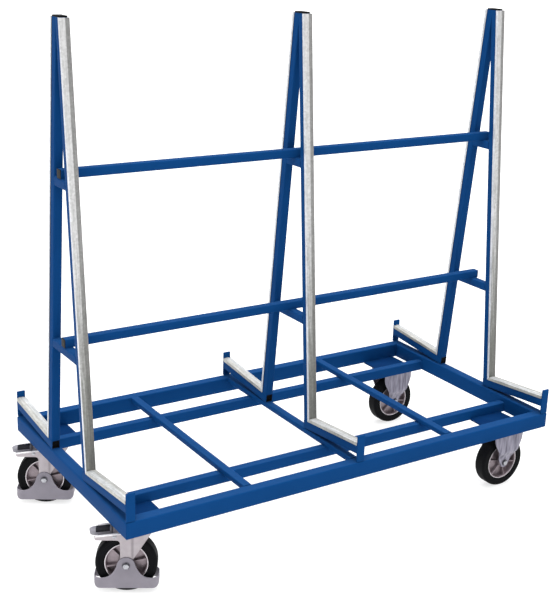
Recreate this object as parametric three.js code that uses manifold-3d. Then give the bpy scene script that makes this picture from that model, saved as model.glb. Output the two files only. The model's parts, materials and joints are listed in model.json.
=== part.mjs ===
// Sheet goods cart: a welded tube frame on two swivel and two fixed casters, with three A-frames
// that carry sheets standing on edge along both sides. Millimetres, +Z up, the floor at z = 0,
// +X towards the fixed casters, +Y towards the back.

import * as THREE from 'three';
import Module from 'manifold-3d';
import { mergeVertices } from 'three/addons/utils/BufferGeometryUtils.js';

// Clearances
const SEAM_GAP = 0.3; // between pieces that are welded, bolted or slipped together
const RUNNING_GAP = 0.3; // between pieces that turn on each other
const WELD_DEPTH = 1; // how far a welded plate sinks into its neighbour in the same piece

// Base frame
const FRAME_LENGTH = 1762;
const FRAME_WIDTH = 918;
const FRAME_TUBE_HEIGHT = 60;
const FRAME_TUBE_WIDTH = 40;
const FRAME_TUBE_WALL = 3;
const FRAME_TUBE_RADIUS = 6;
const STRINGER_WIDTH = 30;
const STRINGER_SPACING = 510;
const CROSS_BAR_WIDTH = 30;
const CROSS_BAR_HEIGHT = 20;
const CROSS_BAR_SPACING = 427;
const LIGHT_TUBE_WALL = 2;
const LIGHT_TUBE_RADIUS = 4;
const CORNER_PLATE_THICKNESS = 6;

// A-frames
const LEAN = THREE.MathUtils.degToRad(5.27);
const LEG_WIDTH = 30;
const LEG_DEPTH = 25;
const LEG_TOP = 1780;
const LEG_TOP_GAP = 1;
const REST_HEIGHT = 33;
const COVER_SHEET = 1.5;
const COVER_STANDOFF = 11.5; // from the tube's face to the cover's outer face
const COVER_LAP = 3; // how far the flanges reach over the tube's sides
const COVER_BEND = 2.5;
const STOP_THICKNESS = 6;
const STOP_RISE = 22;
const SPREADER_WIDTH = 30;
const SPREADER_HEIGHT = 30;
const RAIL_WIDTH = 30;
const RAIL_HEIGHT = 30;
const LOWER_RAIL_LEVEL = 733;
const UPPER_RAIL_LEVEL = 1288;

// Wheels
const WHEEL_DIAMETER = 200;
const TYRE_WIDTH = 50;
const TYRE_SHOULDER = 9;
const RIM_DIAMETER = 140;
const RIM_WIDTH = 44;
const RIM_WALL = 7;
const RIM_WEB = 8;
const HUB_DIAMETER = 48;
const HUB_SIDE_GAP = 0.5;
const RIB_COUNT = 6;
const RIB_THICKNESS = 8;
const RIB_SETBACK = 4; // from the rim's edge to a rib's edge
const RIB_PHASE = THREE.MathUtils.degToRad(47);
const AXLE_DIAMETER = 12;
const AXLE_HEAD_DIAMETER = 20;
const AXLE_HEAD_HEIGHT = 8;
const HEXAGON = 6;

// Forks and caster plates
const TYRE_SIDE_GAP = 5;
const FORK_SHEET = 5;
const FORK_EYE_RADIUS = 19;
const CASTER_PLATE_THICKNESS = 6;
const FIXED_INSET = 118; // from the frame's end to the middle of a fixed caster
const FIXED_PLATE_LENGTH = 140;
const FIXED_PLATE_WIDTH = 110;
const FIXED_SKIRT = 49; // height over which a fixed fork's legs keep the plate's full length
const FIXED_BEND_LOW = 18; // above the axle, where the legs start to spread
const FIXED_BEND_HIGH = 55; // above the axle, where they reach the plate's full width
const FIXED_CORNER_PLATE = 154;
const FIXED_CORNER_SHIFT = 19;
const SWIVEL_INSET = 111; // from the frame's end to a swivel caster's kingpin
const SWIVEL_PLATE_LENGTH = 110;
const SWIVEL_PLATE_WIDTH = 135;
const SWIVEL_CORNER_PLATE = 132;
const SWIVEL_HEADING = THREE.MathUtils.degToRad(150);
const TRAIL = 50;
const FORK_FRONT_ANGLE = THREE.MathUtils.degToRad(150);
const ARM_LENGTH = 80;
const ARM_ROOT_DROP = 3;
const ARM_TIP_DROP = 13;
const ARM_UNDERSIDE_DROP = 28;
const ARM_FILLET = 13;
const CROWN_FRONT = 46;
const CROWN_GAP = 4;
const CROWN_THICKNESS = 8;
const RACE_DIAMETER = 66;
const RACE_HEIGHT = 13;
const KINGPIN_DIAMETER = 16;
const KINGPIN_NUT_DIAMETER = 28;
const KINGPIN_NUT_HEIGHT = 9;

// Foot guard round a swivel wheel
const GUARD_SHEET = 3;
const GUARD_REACH = 4;
const GUARD_BOTTOM = 19;
const GUARD_BASE_HEIGHT = 37;
const GUARD_TOE_RADIUS = 14;
const GUARD_FLARE = 78;
const GUARD_HUB_RADIUS = 29;
const GUARD_HUB_ANGLE = THREE.MathUtils.degToRad(20);
const GUARD_CORNER = 24;

// Brake pedal
const PEDAL_TRAVEL = THREE.MathUtils.degToRad(12);
const PEDAL_SLOPE = THREE.MathUtils.degToRad(7);
const PEDAL_PIN_DIAMETER = 8;
const PEDAL_BARREL_DIAMETER = 16;
const PEDAL_PIN_AHEAD = 12;
const PEDAL_PIN_LIFT = 16;
const PEDAL_LEVER_LENGTH = 80;
const PEDAL_LEVER_SHEET = 3;
const PEDAL_PAD_START = 34;
const PEDAL_PAD_END = 106;
const PEDAL_PAD_WIDTH = 32;
const PEDAL_PAD_THICKNESS = 22;

// Facets of the round faces
const CORNER_SEGMENTS = 1;
const PLATE_SEGMENTS = 3;
const SHOULDER_SEGMENTS = 2;
const WHEEL_SEGMENTS = 32;
const PIN_SEGMENTS = 12;

// Heights and places that follow from the sizes above
const WHEEL_RADIUS = WHEEL_DIAMETER / 2;
const PEDAL_PIN_LEVEL = WHEEL_DIAMETER + PEDAL_PIN_LIFT;
const CROWN_BOTTOM = PEDAL_PIN_LEVEL + PEDAL_BARREL_DIAMETER / 2 + CROWN_GAP;
const CROWN_TOP = CROWN_BOTTOM + CROWN_THICKNESS;
const CASTER_PLATE_BOTTOM = CROWN_TOP + RACE_HEIGHT;
const CASTER_HEIGHT = CASTER_PLATE_BOTTOM + CASTER_PLATE_THICKNESS;
const FRAME_BOTTOM = CASTER_HEIGHT + SEAM_GAP;
const FRAME_TOP = FRAME_BOTTOM + FRAME_TUBE_HEIGHT;
const SIDE_INNER_FACE = FRAME_WIDTH / 2 - FRAME_TUBE_WIDTH;
const END_INNER_FACE = FRAME_LENGTH / 2 - FRAME_TUBE_WIDTH;
const FIXED_X = FRAME_LENGTH / 2 - FIXED_INSET;
const SWIVEL_X = FRAME_LENGTH / 2 - SWIVEL_INSET;
const STRINGER_HEIGHT = FRAME_TUBE_HEIGHT - CROSS_BAR_HEIGHT - SEAM_GAP;
const STRINGER_OUTER_FACE = (STRINGER_SPACING + STRINGER_WIDTH) / 2;
const CASTER_Y = (STRINGER_OUTER_FACE + SIDE_INNER_FACE) / 2;
const FORK_INNER = TYRE_WIDTH + 2 * TYRE_SIDE_GAP;
const FORK_OUTER = FORK_INNER + 2 * FORK_SHEET;
const COVER_WIDTH = LEG_WIDTH + 2 * (COVER_SHEET + SEAM_GAP);
const A_FRAME_X = (FRAME_LENGTH - COVER_WIDTH) / 2;
const RAIL_LENGTH = 2 * A_FRAME_X + LEG_WIDTH;

// The heel is the lower inner edge of a rest, where it stands on the base frame
const HEEL_Z = FRAME_TOP + SEAM_GAP;
const HEEL_Y = LEG_TOP_GAP / 2 + (LEG_TOP - HEEL_Z) * Math.tan(LEAN);
const REST_END_Y = FRAME_WIDTH / 2 - STOP_THICKNESS - SEAM_GAP;
const REST_LENGTH = (REST_END_Y - HEEL_Y) / Math.cos(LEAN);
const REST_COVER_END_Z = HEEL_Z + REST_LENGTH * Math.sin(LEAN)
  + (REST_HEIGHT + COVER_STANDOFF) / Math.cos(LEAN);
const STOP_TOP = REST_COVER_END_Z + STOP_RISE;

const BLUE_STEEL = new THREE.MeshStandardMaterial({ color: '#1b4f93', roughness: 0.45, metalness: 0.1 });
const GALVANISED = new THREE.MeshStandardMaterial({ color: '#b9bab8', roughness: 0.42, metalness: 0.85 });
const ZINC_PLATE = new THREE.MeshStandardMaterial({ color: '#c3bec3', roughness: 0.35, metalness: 0.8 });
const GREY_PAINT = new THREE.MeshStandardMaterial({ color: '#8f8c96', roughness: 0.5, metalness: 0.2 });
const ALUMINIUM = new THREE.MeshStandardMaterial({ color: '#b3a8aa', roughness: 0.4, metalness: 0.85 });
const RUBBER = new THREE.MeshStandardMaterial({ color: '#17181b', roughness: 0.75, metalness: 0 });

const wasm = await Module();
wasm.setup();

// Closed surface of a geometry as a solid that can be joined and cut
function solidOf(geometry) {
  const bare = geometry.clone();
  bare.deleteAttribute('normal');
  bare.deleteAttribute('uv');
  const merged = mergeVertices(bare);
  const vertProperties = new Float32Array(merged.attributes.position.array);
  const triVerts = new Uint32Array(merged.index.array);
  return new wasm.Manifold(new wasm.Mesh({ numProp: 3, vertProperties, triVerts }));
}

function geometryOf(solid) {
  const mesh = solid.getMesh();
  const geometry = new THREE.BufferGeometry();
  geometry.setAttribute('position', new THREE.BufferAttribute(mesh.vertProperties, 3));
  geometry.setIndex(new THREE.BufferAttribute(mesh.triVerts, 1));
  return geometry;
}

function join(geometries) {
  return geometryOf(geometries.map(solidOf).reduce((whole, piece) => whole.add(piece)));
}

function cut(geometry, cutters) {
  const solid = solidOf(geometry);
  return geometryOf(cutters.map(solidOf).reduce((whole, cutter) => whole.subtract(cutter), solid));
}

function intersect(first, second) {
  return geometryOf(solidOf(first).intersect(solidOf(second)));
}

function part(name, geometry, material) {
  const mesh = new THREE.Mesh(geometry, material);
  mesh.name = name;
  return mesh;
}

// Sections

function roundedRectangle(outline, width, height, radius) {
  const x = width / 2 - radius;
  const y = height / 2 - radius;
  const quarter = Math.PI / 2;
  outline.absarc(x, y, radius, 0, quarter);
  outline.absarc(-x, y, radius, quarter, 2 * quarter);
  outline.absarc(-x, -y, radius, 2 * quarter, 3 * quarter);
  outline.absarc(x, -y, radius, 3 * quarter, 4 * quarter);
  return outline;
}

function tubeSection(width, height, wall, radius) {
  const section = roundedRectangle(new THREE.Shape(), width, height, radius);
  const innerRadius = Math.max(radius - wall, wall / 4);
  const bore = roundedRectangle(new THREE.Path(), width - 2 * wall, height - 2 * wall, innerRadius);
  section.holes.push(bore);
  return section;
}

function lightTube(width, height) {
  return tubeSection(width, height, LIGHT_TUBE_WALL, LIGHT_TUBE_RADIUS);
}

// Folded channel: the web's outer face lies on y = 0, the flanges reach back over the tube's sides
function channelSection() {
  const side = COVER_WIDTH / 2;
  const inside = side - COVER_SHEET;
  const depth = COVER_STANDOFF + COVER_LAP;
  const section = new THREE.Shape();
  section.moveTo(side, -depth);
  section.absarc(side - COVER_BEND, -COVER_BEND, COVER_BEND, 0, Math.PI / 2);
  section.absarc(COVER_BEND - side, -COVER_BEND, COVER_BEND, Math.PI / 2, Math.PI);
  section.lineTo(-side, -depth);
  section.lineTo(-inside, -depth);
  section.lineTo(-inside, -COVER_SHEET);
  section.lineTo(inside, -COVER_SHEET);
  section.lineTo(inside, -depth);
  return section;
}

// Bars

const SQUARE_END = new THREE.Vector2(0, 0);

// A bar of constant section from z = 0 to z = length. An end is tilted by moving its points along
// the bar in proportion to their place in the section.
function bar(section, length, startTilt = SQUARE_END, endTilt = SQUARE_END) {
  const settings = { depth: length, bevelEnabled: false, curveSegments: CORNER_SEGMENTS };
  const geometry = new THREE.ExtrudeGeometry(section, settings);
  const points = geometry.attributes.position;
  for (let i = 0; i < points.count; i += 1) {
    const tilt = points.getZ(i) > length / 2 ? endTilt : startTilt;
    points.setZ(i, points.getZ(i) + tilt.x * points.getX(i) + tilt.y * points.getY(i));
  }
  return geometry;
}

// Lays a bar along +X, with the section's y still along +Y
function alongX(geometry) {
  return geometry.rotateY(Math.PI / 2);
}

// Lays a bar along +Y, with the section's y upwards
function alongY(geometry) {
  return geometry.rotateX(-Math.PI / 2).rotateY(Math.PI);
}

// A plate drawn in x and z, of the given width across y, centred on y = 0
function uprightPlate(outline, width) {
  const settings = { depth: width, bevelEnabled: false, curveSegments: PLATE_SEGMENTS };
  return new THREE.ExtrudeGeometry(outline, settings).translate(0, 0, -width / 2).rotateX(Math.PI / 2);
}

// A plate drawn in y and z, of the given length along x, centred on x = 0
function lengthwisePlate(outline, length) {
  const settings = { depth: length, bevelEnabled: false, curveSegments: PLATE_SEGMENTS };
  const geometry = new THREE.ExtrudeGeometry(outline, settings).translate(0, 0, -length / 2);
  return geometry.rotateX(Math.PI / 2).rotateZ(Math.PI / 2);
}

function crosswisePin(diameter, length, segments = PIN_SEGMENTS) {
  return new THREE.CylinderGeometry(diameter / 2, diameter / 2, length, segments);
}

// A bore's facets lie outside the true circle, so that a round pin turns freely in it
function boreDiameter(pinDiameter, gap) {
  return (pinDiameter + 2 * gap) / Math.cos(Math.PI / PIN_SEGMENTS);
}

// Base frame

// One mitred member with its outer face towards -Y, at the given distance from the middle
function frameMember(length, outerFace) {
  const section = tubeSection(FRAME_TUBE_HEIGHT, FRAME_TUBE_WIDTH, FRAME_TUBE_WALL, FRAME_TUBE_RADIUS);
  const middleLength = length - FRAME_TUBE_WIDTH - 2 * SEAM_GAP;
  const mitred = bar(section, middleLength, new THREE.Vector2(0, 1), new THREE.Vector2(0, -1));
  const level = FRAME_BOTTOM + FRAME_TUBE_HEIGHT / 2;
  return alongX(mitred).translate(-middleLength / 2, FRAME_TUBE_WIDTH / 2 - outerFace, level);
}

// Flat bar that keeps the sheets from sliding off a rest, flush with the frame's outer face. Its
// narrower foot is welded to the side member, clear of the mitre at the frame's corner.
function stop(x) {
  const bottom = FRAME_TOP + SEAM_GAP;
  const y = (STOP_THICKNESS - FRAME_WIDTH) / 2;
  const blade = new THREE.BoxGeometry(LEG_WIDTH, STOP_THICKNESS, STOP_TOP - bottom);
  const footWidth = LEG_WIDTH - 2 * (STOP_THICKNESS + 2 * SEAM_GAP);
  const foot = new THREE.BoxGeometry(footWidth, STOP_THICKNESS, 2 * WELD_DEPTH + SEAM_GAP);
  return [
    blade.translate(x, y, (STOP_TOP + bottom) / 2),
    foot.translate(x, y, FRAME_TOP + SEAM_GAP / 2),
  ];
}

function buildBaseFrame() {
  const frame = new THREE.Group();
  const stops = [-A_FRAME_X, 0, A_FRAME_X].flatMap(stop);
  const side = join([frameMember(FRAME_LENGTH, FRAME_WIDTH / 2), ...stops]);
  const end = frameMember(FRAME_WIDTH, FRAME_LENGTH / 2);
  const members = [
    part('front_side_member', side, BLUE_STEEL),
    part('right_end_member', end, BLUE_STEEL),
    part('back_side_member', side, BLUE_STEEL),
    part('left_end_member', end, BLUE_STEEL),
  ];
  members.forEach((member, quarterTurns) => {
    member.rotation.z = quarterTurns * Math.PI / 2;
    frame.add(member);
  });

  frame.add(part('front_stringer', stringer(-1), BLUE_STEEL));
  frame.add(part('back_stringer', stringer(1), BLUE_STEEL));

  ['left', 'middle', 'right'].forEach((place, index) => {
    const length = 2 * (SIDE_INNER_FACE - SEAM_GAP);
    const tube = alongY(bar(lightTube(CROSS_BAR_WIDTH, CROSS_BAR_HEIGHT), length));
    const crossBar = part(`${place}_cross_bar`, tube, BLUE_STEEL);
    const level = FRAME_TOP - CROSS_BAR_HEIGHT / 2;
    crossBar.position.set((index - 1) * CROSS_BAR_SPACING, -length / 2, level);
    frame.add(crossBar);
  });
  return frame;
}

// A stringer with the two corner plates welded to its outer side; side is -1 in front, 1 behind
function stringer(side) {
  const length = 2 * (END_INNER_FACE - SEAM_GAP);
  const tube = alongX(bar(lightTube(STRINGER_HEIGHT, STRINGER_WIDTH), length));
  tube.translate(-length / 2, side * STRINGER_SPACING / 2, FRAME_BOTTOM + STRINGER_HEIGHT / 2);
  const swivelPlate = cornerPlate(-SWIVEL_X, SWIVEL_CORNER_PLATE, side);
  const fixedPlate = cornerPlate(FIXED_X - FIXED_CORNER_SHIFT, FIXED_CORNER_PLATE, side);
  return join([tube, swivelPlate, fixedPlate]);
}

function cornerPlate(x, length, side) {
  const innerEdge = STRINGER_OUTER_FACE - WELD_DEPTH;
  const outerEdge = SIDE_INNER_FACE - SEAM_GAP;
  const geometry = new THREE.BoxGeometry(length, outerEdge - innerEdge, CORNER_PLATE_THICKNESS);
  const level = FRAME_BOTTOM + CORNER_PLATE_THICKNESS / 2;
  return geometry.translate(x, side * (innerEdge + outerEdge) / 2, level);
}

// A-frames

// Leg, rest and their covers on one side, in axes that lean with the leg: the origin is the heel,
// +Y runs out along the rest and +Z up along the leg
function buildLeaningSide(prefix) {
  const side = new THREE.Group();
  side.position.set(0, HEEL_Y, HEEL_Z);
  side.rotation.x = LEAN;

  const levelCut = new THREE.Vector2(0, -Math.tan(LEAN));
  const legStart = REST_HEIGHT + SEAM_GAP;
  const levelOfTop = (LEG_TOP - HEEL_Z) / Math.cos(LEAN);
  const legMiddle = levelOfTop - LEG_DEPTH / 2 * Math.tan(LEAN);
  const legTube = bar(lightTube(LEG_WIDTH, LEG_DEPTH), legMiddle - legStart, SQUARE_END, levelCut);
  const leg = part(`${prefix}_leg`, legTube, BLUE_STEEL);
  leg.position.set(0, LEG_DEPTH / 2, legStart);
  side.add(leg);

  const plumbCut = new THREE.Vector2(0, Math.tan(LEAN));
  const restMiddle = REST_LENGTH + REST_HEIGHT / 2 * Math.tan(LEAN);
  const restTube = alongY(bar(lightTube(LEG_WIDTH, REST_HEIGHT), restMiddle, SQUARE_END, plumbCut));
  const rest = part(`${prefix}_rest`, restTube, BLUE_STEEL);
  rest.position.set(0, 0, REST_HEIGHT / 2);
  side.add(rest);

  // The two covers meet in a mitre where their outer faces cross
  const mitre = new THREE.Vector2(0, 1);
  const cornerY = LEG_DEPTH + COVER_STANDOFF;
  const cornerZ = REST_HEIGHT + COVER_STANDOFF;
  const legCoverEnd = levelOfTop - cornerY * Math.tan(LEAN);
  const legCoverStart = cornerZ + SEAM_GAP;
  const legChannel = bar(channelSection(), legCoverEnd - legCoverStart, mitre, levelCut);
  const legCover = part(`${prefix}_leg_cover`, legChannel, GALVANISED);
  legCover.position.set(0, cornerY, legCoverStart);
  side.add(legCover);

  const restCoverStart = cornerY + SEAM_GAP;
  const restCoverEnd = REST_LENGTH + cornerZ * Math.tan(LEAN);
  const restChannel = alongY(bar(channelSection(), restCoverEnd - restCoverStart, mitre, plumbCut));
  const restCover = part(`${prefix}_rest_cover`, restChannel, GALVANISED);
  restCover.position.set(0, restCoverStart, cornerZ);
  side.add(restCover);
  return side;
}

// Spreader between the legs' inner faces, with its top at the given level
function spreader(name, top) {
  const middle = top - SPREADER_HEIGHT / 2;
  const innerFace = HEEL_Y - (middle - HEEL_Z) * Math.tan(LEAN);
  const length = 2 * (innerFace - SEAM_GAP);
  const lean = Math.tan(LEAN);
  const tube = bar(
    lightTube(SPREADER_WIDTH, SPREADER_HEIGHT),
    length,
    new THREE.Vector2(0, lean),
    new THREE.Vector2(0, -lean),
  );
  const mesh = part(name, alongY(tube), BLUE_STEEL);
  mesh.position.set(0, -length / 2, middle);
  return mesh;
}

function buildAFrame(place, x) {
  const aFrame = new THREE.Group();
  aFrame.position.x = x;
  const back = new THREE.Group();
  back.add(buildLeaningSide(`${place}_back`));
  const front = new THREE.Group();
  front.rotation.z = Math.PI;
  front.add(buildLeaningSide(`${place}_front`));
  const lower = spreader(`${place}_lower_spreader`, LOWER_RAIL_LEVEL - SEAM_GAP);
  const upper = spreader(`${place}_upper_spreader`, UPPER_RAIL_LEVEL - SEAM_GAP);
  aFrame.add(back, front, lower, upper);
  return aFrame;
}

function rail(name, level) {
  const tube = alongX(bar(lightTube(RAIL_HEIGHT, RAIL_WIDTH), RAIL_LENGTH));
  const mesh = part(name, tube, BLUE_STEEL);
  mesh.position.set(-RAIL_LENGTH / 2, 0, level + RAIL_HEIGHT / 2);
  return mesh;
}

// Wheels, turned about the axle along Y

// Spins a closed outline of radius and width about the axle, with a facet facing the floor
function turned(outline) {
  return new THREE.LatheGeometry(outline, WHEEL_SEGMENTS, Math.PI / WHEEL_SEGMENTS);
}

function arcPoints(centreRadius, centreWidth, radius, from, to) {
  return new THREE.EllipseCurve(centreRadius, centreWidth, radius, radius, from, to)
    .getPoints(SHOULDER_SEGMENTS);
}

function closed(points) {
  return [...points, points[0].clone()];
}

function tyreGeometry() {
  const seat = RIM_DIAMETER / 2 + SEAM_GAP;
  const tread = WHEEL_RADIUS / Math.cos(Math.PI / WHEEL_SEGMENTS);
  const side = TYRE_WIDTH / 2;
  const bend = TYRE_SHOULDER;
  return turned(closed([
    new THREE.Vector2(seat, -RIM_WIDTH / 2),
    new THREE.Vector2(seat + bend, -side),
    ...arcPoints(tread - bend, bend - side, bend, -Math.PI / 2, 0),
    ...arcPoints(tread - bend, side - bend, bend, 0, Math.PI / 2),
    new THREE.Vector2(seat + bend, side),
    new THREE.Vector2(seat, RIM_WIDTH / 2),
  ]));
}

// A closed web between hub and rim, stiffened by ribs on both sides
function rimGeometry() {
  const outer = RIM_DIAMETER / 2;
  const inner = outer - RIM_WALL;
  const hub = HUB_DIAMETER / 2;
  const hubEnd = FORK_INNER / 2 - HUB_SIDE_GAP;
  const bore = (AXLE_DIAMETER / 2 + RUNNING_GAP) / Math.cos(Math.PI / WHEEL_SEGMENTS);
  const body = turned(closed([
    new THREE.Vector2(bore, -hubEnd),
    new THREE.Vector2(hub, -hubEnd),
    new THREE.Vector2(hub, -RIM_WEB / 2),
    new THREE.Vector2(inner, -RIM_WEB / 2),
    new THREE.Vector2(inner, -RIM_WIDTH / 2),
    new THREE.Vector2(outer, -RIM_WIDTH / 2),
    new THREE.Vector2(outer, RIM_WIDTH / 2),
    new THREE.Vector2(inner, RIM_WIDTH / 2),
    new THREE.Vector2(inner, RIM_WEB / 2),
    new THREE.Vector2(hub, RIM_WEB / 2),
    new THREE.Vector2(hub, hubEnd),
    new THREE.Vector2(bore, hubEnd),
  ]));
  const reach = inner - hub + 2 * WELD_DEPTH;
  const ribs = [];
  for (let count = 0; count < RIB_COUNT; count += 1) {
    const rib = new THREE.BoxGeometry(reach, RIM_WIDTH - 2 * RIB_SETBACK, RIB_THICKNESS);
    rib.translate((hub + inner) / 2, 0, 0);
    ribs.push(rib.rotateY(-RIB_PHASE - count * 2 * Math.PI / RIB_COUNT));
  }
  return join([body, ...ribs]);
}

function buildWheel(prefix) {
  const wheel = new THREE.Group();
  wheel.add(part(`${prefix}_rim`, rimGeometry(), ALUMINIUM));
  wheel.add(part(`${prefix}_tyre`, tyreGeometry(), RUBBER));
  return wheel;
}

// Casters

// Axle bolt with a hexagon head at each end; the heads' inner faces are the given width apart
function axleBolt(width) {
  const shank = crosswisePin(AXLE_DIAMETER, width + 2 * WELD_DEPTH);
  const place = (width + AXLE_HEAD_HEIGHT) / 2;
  const heads = [-place, place].map(y => (
    crosswisePin(AXLE_HEAD_DIAMETER, AXLE_HEAD_HEIGHT, HEXAGON).translate(0, y, 0)
  ));
  return [shank, ...heads];
}

function casterPlate(length, width) {
  const plate = new THREE.BoxGeometry(length, width, CASTER_PLATE_THICKNESS);
  return plate.translate(0, 0, CASTER_PLATE_BOTTOM + CASTER_PLATE_THICKNESS / 2);
}

function forkLegs(outline) {
  const place = (FORK_OUTER - FORK_SHEET) / 2;
  return [-place, place].map(y => uprightPlate(outline, FORK_SHEET).translate(0, y, 0));
}

// The sheet of one fixed leg seen along the cart: it drops from the plate's edge, then bends in
// towards the hub; side is -1 in front, 1 behind
function bentLeg(side, top) {
  const wide = FIXED_PLATE_WIDTH / 2;
  const narrow = FORK_OUTER / 2;
  const high = WHEEL_RADIUS + FIXED_BEND_HIGH;
  const low = WHEEL_RADIUS + FIXED_BEND_LOW;
  const face = [[wide, top], [wide, high], [narrow, low], [narrow, 0]];
  const inside = face.map(([y, z]) => [y - FORK_SHEET, z]).reverse();
  const outline = new THREE.Shape();
  outline.setFromPoints([...face, ...inside].map(([y, z]) => new THREE.Vector2(side * y, z)));
  return lengthwisePlate(outline, FIXED_PLATE_LENGTH);
}

// Plate and two legs, as long as the plate at the top and tapering to an eye round the axle
function fixedForkGeometry() {
  const top = CASTER_PLATE_BOTTOM + WELD_DEPTH;
  const half = FIXED_PLATE_LENGTH / 2;
  const shoulder = CASTER_PLATE_BOTTOM - FIXED_SKIRT;
  const rise = shoulder - WHEEL_RADIUS;
  const tangent = Math.acos(FORK_EYE_RADIUS / Math.hypot(half, rise));
  const eyeStart = Math.PI - Math.atan2(rise, half) + tangent;
  const outline = new THREE.Shape();
  outline.moveTo(half, shoulder);
  outline.lineTo(half, top);
  outline.lineTo(-half, top);
  outline.lineTo(-half, shoulder);
  outline.absarc(0, WHEEL_RADIUS, FORK_EYE_RADIUS, eyeStart, 3 * Math.PI - eyeStart);
  const silhouette = uprightPlate(outline, 2 * FIXED_PLATE_WIDTH);
  const legs = [-1, 1].map(side => intersect(silhouette, bentLeg(side, top)));
  const bolt = axleBolt(FORK_OUTER).map(piece => piece.translate(0, 0, WHEEL_RADIUS));
  return join([casterPlate(FIXED_PLATE_LENGTH, FIXED_PLATE_WIDTH), ...legs, ...bolt]);
}

function buildFixedCaster(prefix) {
  const caster = new THREE.Group();
  const wheel = buildWheel(prefix);
  wheel.position.z = WHEEL_RADIUS;
  caster.add(part(`${prefix}_fork`, fixedForkGeometry(), ZINC_PLATE), wheel);
  return caster;
}

// Top plate, ball race and kingpin, whose nut holds the fork's crown from below
function headGeometry() {
  const nutTop = CROWN_BOTTOM - RUNNING_GAP;
  const raceBottom = CROWN_TOP + RUNNING_GAP;
  const outline = [
    new THREE.Vector2(0, nutTop - KINGPIN_NUT_HEIGHT),
    new THREE.Vector2(KINGPIN_NUT_DIAMETER / 2, nutTop - KINGPIN_NUT_HEIGHT),
    new THREE.Vector2(KINGPIN_NUT_DIAMETER / 2, nutTop),
    new THREE.Vector2(KINGPIN_DIAMETER / 2, nutTop),
    new THREE.Vector2(KINGPIN_DIAMETER / 2, raceBottom),
    new THREE.Vector2(RACE_DIAMETER / 2, raceBottom),
    new THREE.Vector2(RACE_DIAMETER / 2, CASTER_PLATE_BOTTOM + WELD_DEPTH),
    new THREE.Vector2(0, CASTER_PLATE_BOTTOM + WELD_DEPTH),
  ];
  const race = new THREE.LatheGeometry(outline, 2 * PIN_SEGMENTS).rotateX(Math.PI / 2);
  return join([casterPlate(SWIVEL_PLATE_LENGTH, SWIVEL_PLATE_WIDTH), race]);
}

// Crown, two legs with arms that flank the pedal, axle bolt and pedal pin; the kingpin stands on
// the origin, the wheel trails towards +X
function swivelForkGeometry() {
  const rear = TRAIL + FORK_EYE_RADIUS;
  const underside = PEDAL_PIN_LEVEL - ARM_UNDERSIDE_DROP;
  const outline = new THREE.Shape();
  outline.moveTo(rear, CROWN_TOP);
  outline.lineTo(-CROWN_FRONT, CROWN_TOP);
  outline.absarc(TRAIL, WHEEL_RADIUS, FORK_EYE_RADIUS, FORK_FRONT_ANGLE, 2 * Math.PI);
  outline.lineTo(rear, underside - ARM_FILLET);
  outline.quadraticCurveTo(rear, underside, rear + ARM_FILLET, underside);
  outline.lineTo(rear + ARM_LENGTH, underside);
  outline.lineTo(rear + ARM_LENGTH, PEDAL_PIN_LEVEL - ARM_TIP_DROP);
  outline.lineTo(rear, PEDAL_PIN_LEVEL - ARM_ROOT_DROP);
  const crown = new THREE.BoxGeometry(rear + CROWN_FRONT, FORK_OUTER, CROWN_THICKNESS);
  crown.translate((rear - CROWN_FRONT) / 2, 0, (CROWN_TOP + CROWN_BOTTOM) / 2);
  const headsApart = FORK_OUTER + 2 * (GUARD_SHEET + 2 * SEAM_GAP);
  const bolt = axleBolt(headsApart).map(piece => piece.translate(TRAIL, 0, WHEEL_RADIUS));
  const pin = crosswisePin(PEDAL_PIN_DIAMETER, FORK_OUTER);
  pin.translate(TRAIL + PEDAL_PIN_AHEAD, 0, PEDAL_PIN_LEVEL);
  const holeDiameter = boreDiameter(KINGPIN_DIAMETER, RUNNING_GAP);
  const hole = crosswisePin(holeDiameter, 2 * CROWN_THICKNESS, 2 * PIN_SEGMENTS);
  hole.rotateX(Math.PI / 2).translate(0, 0, (CROWN_TOP + CROWN_BOTTOM) / 2);
  return cut(join([crown, ...forkLegs(outline), ...bolt, pin]), [hole]);
}

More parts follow.
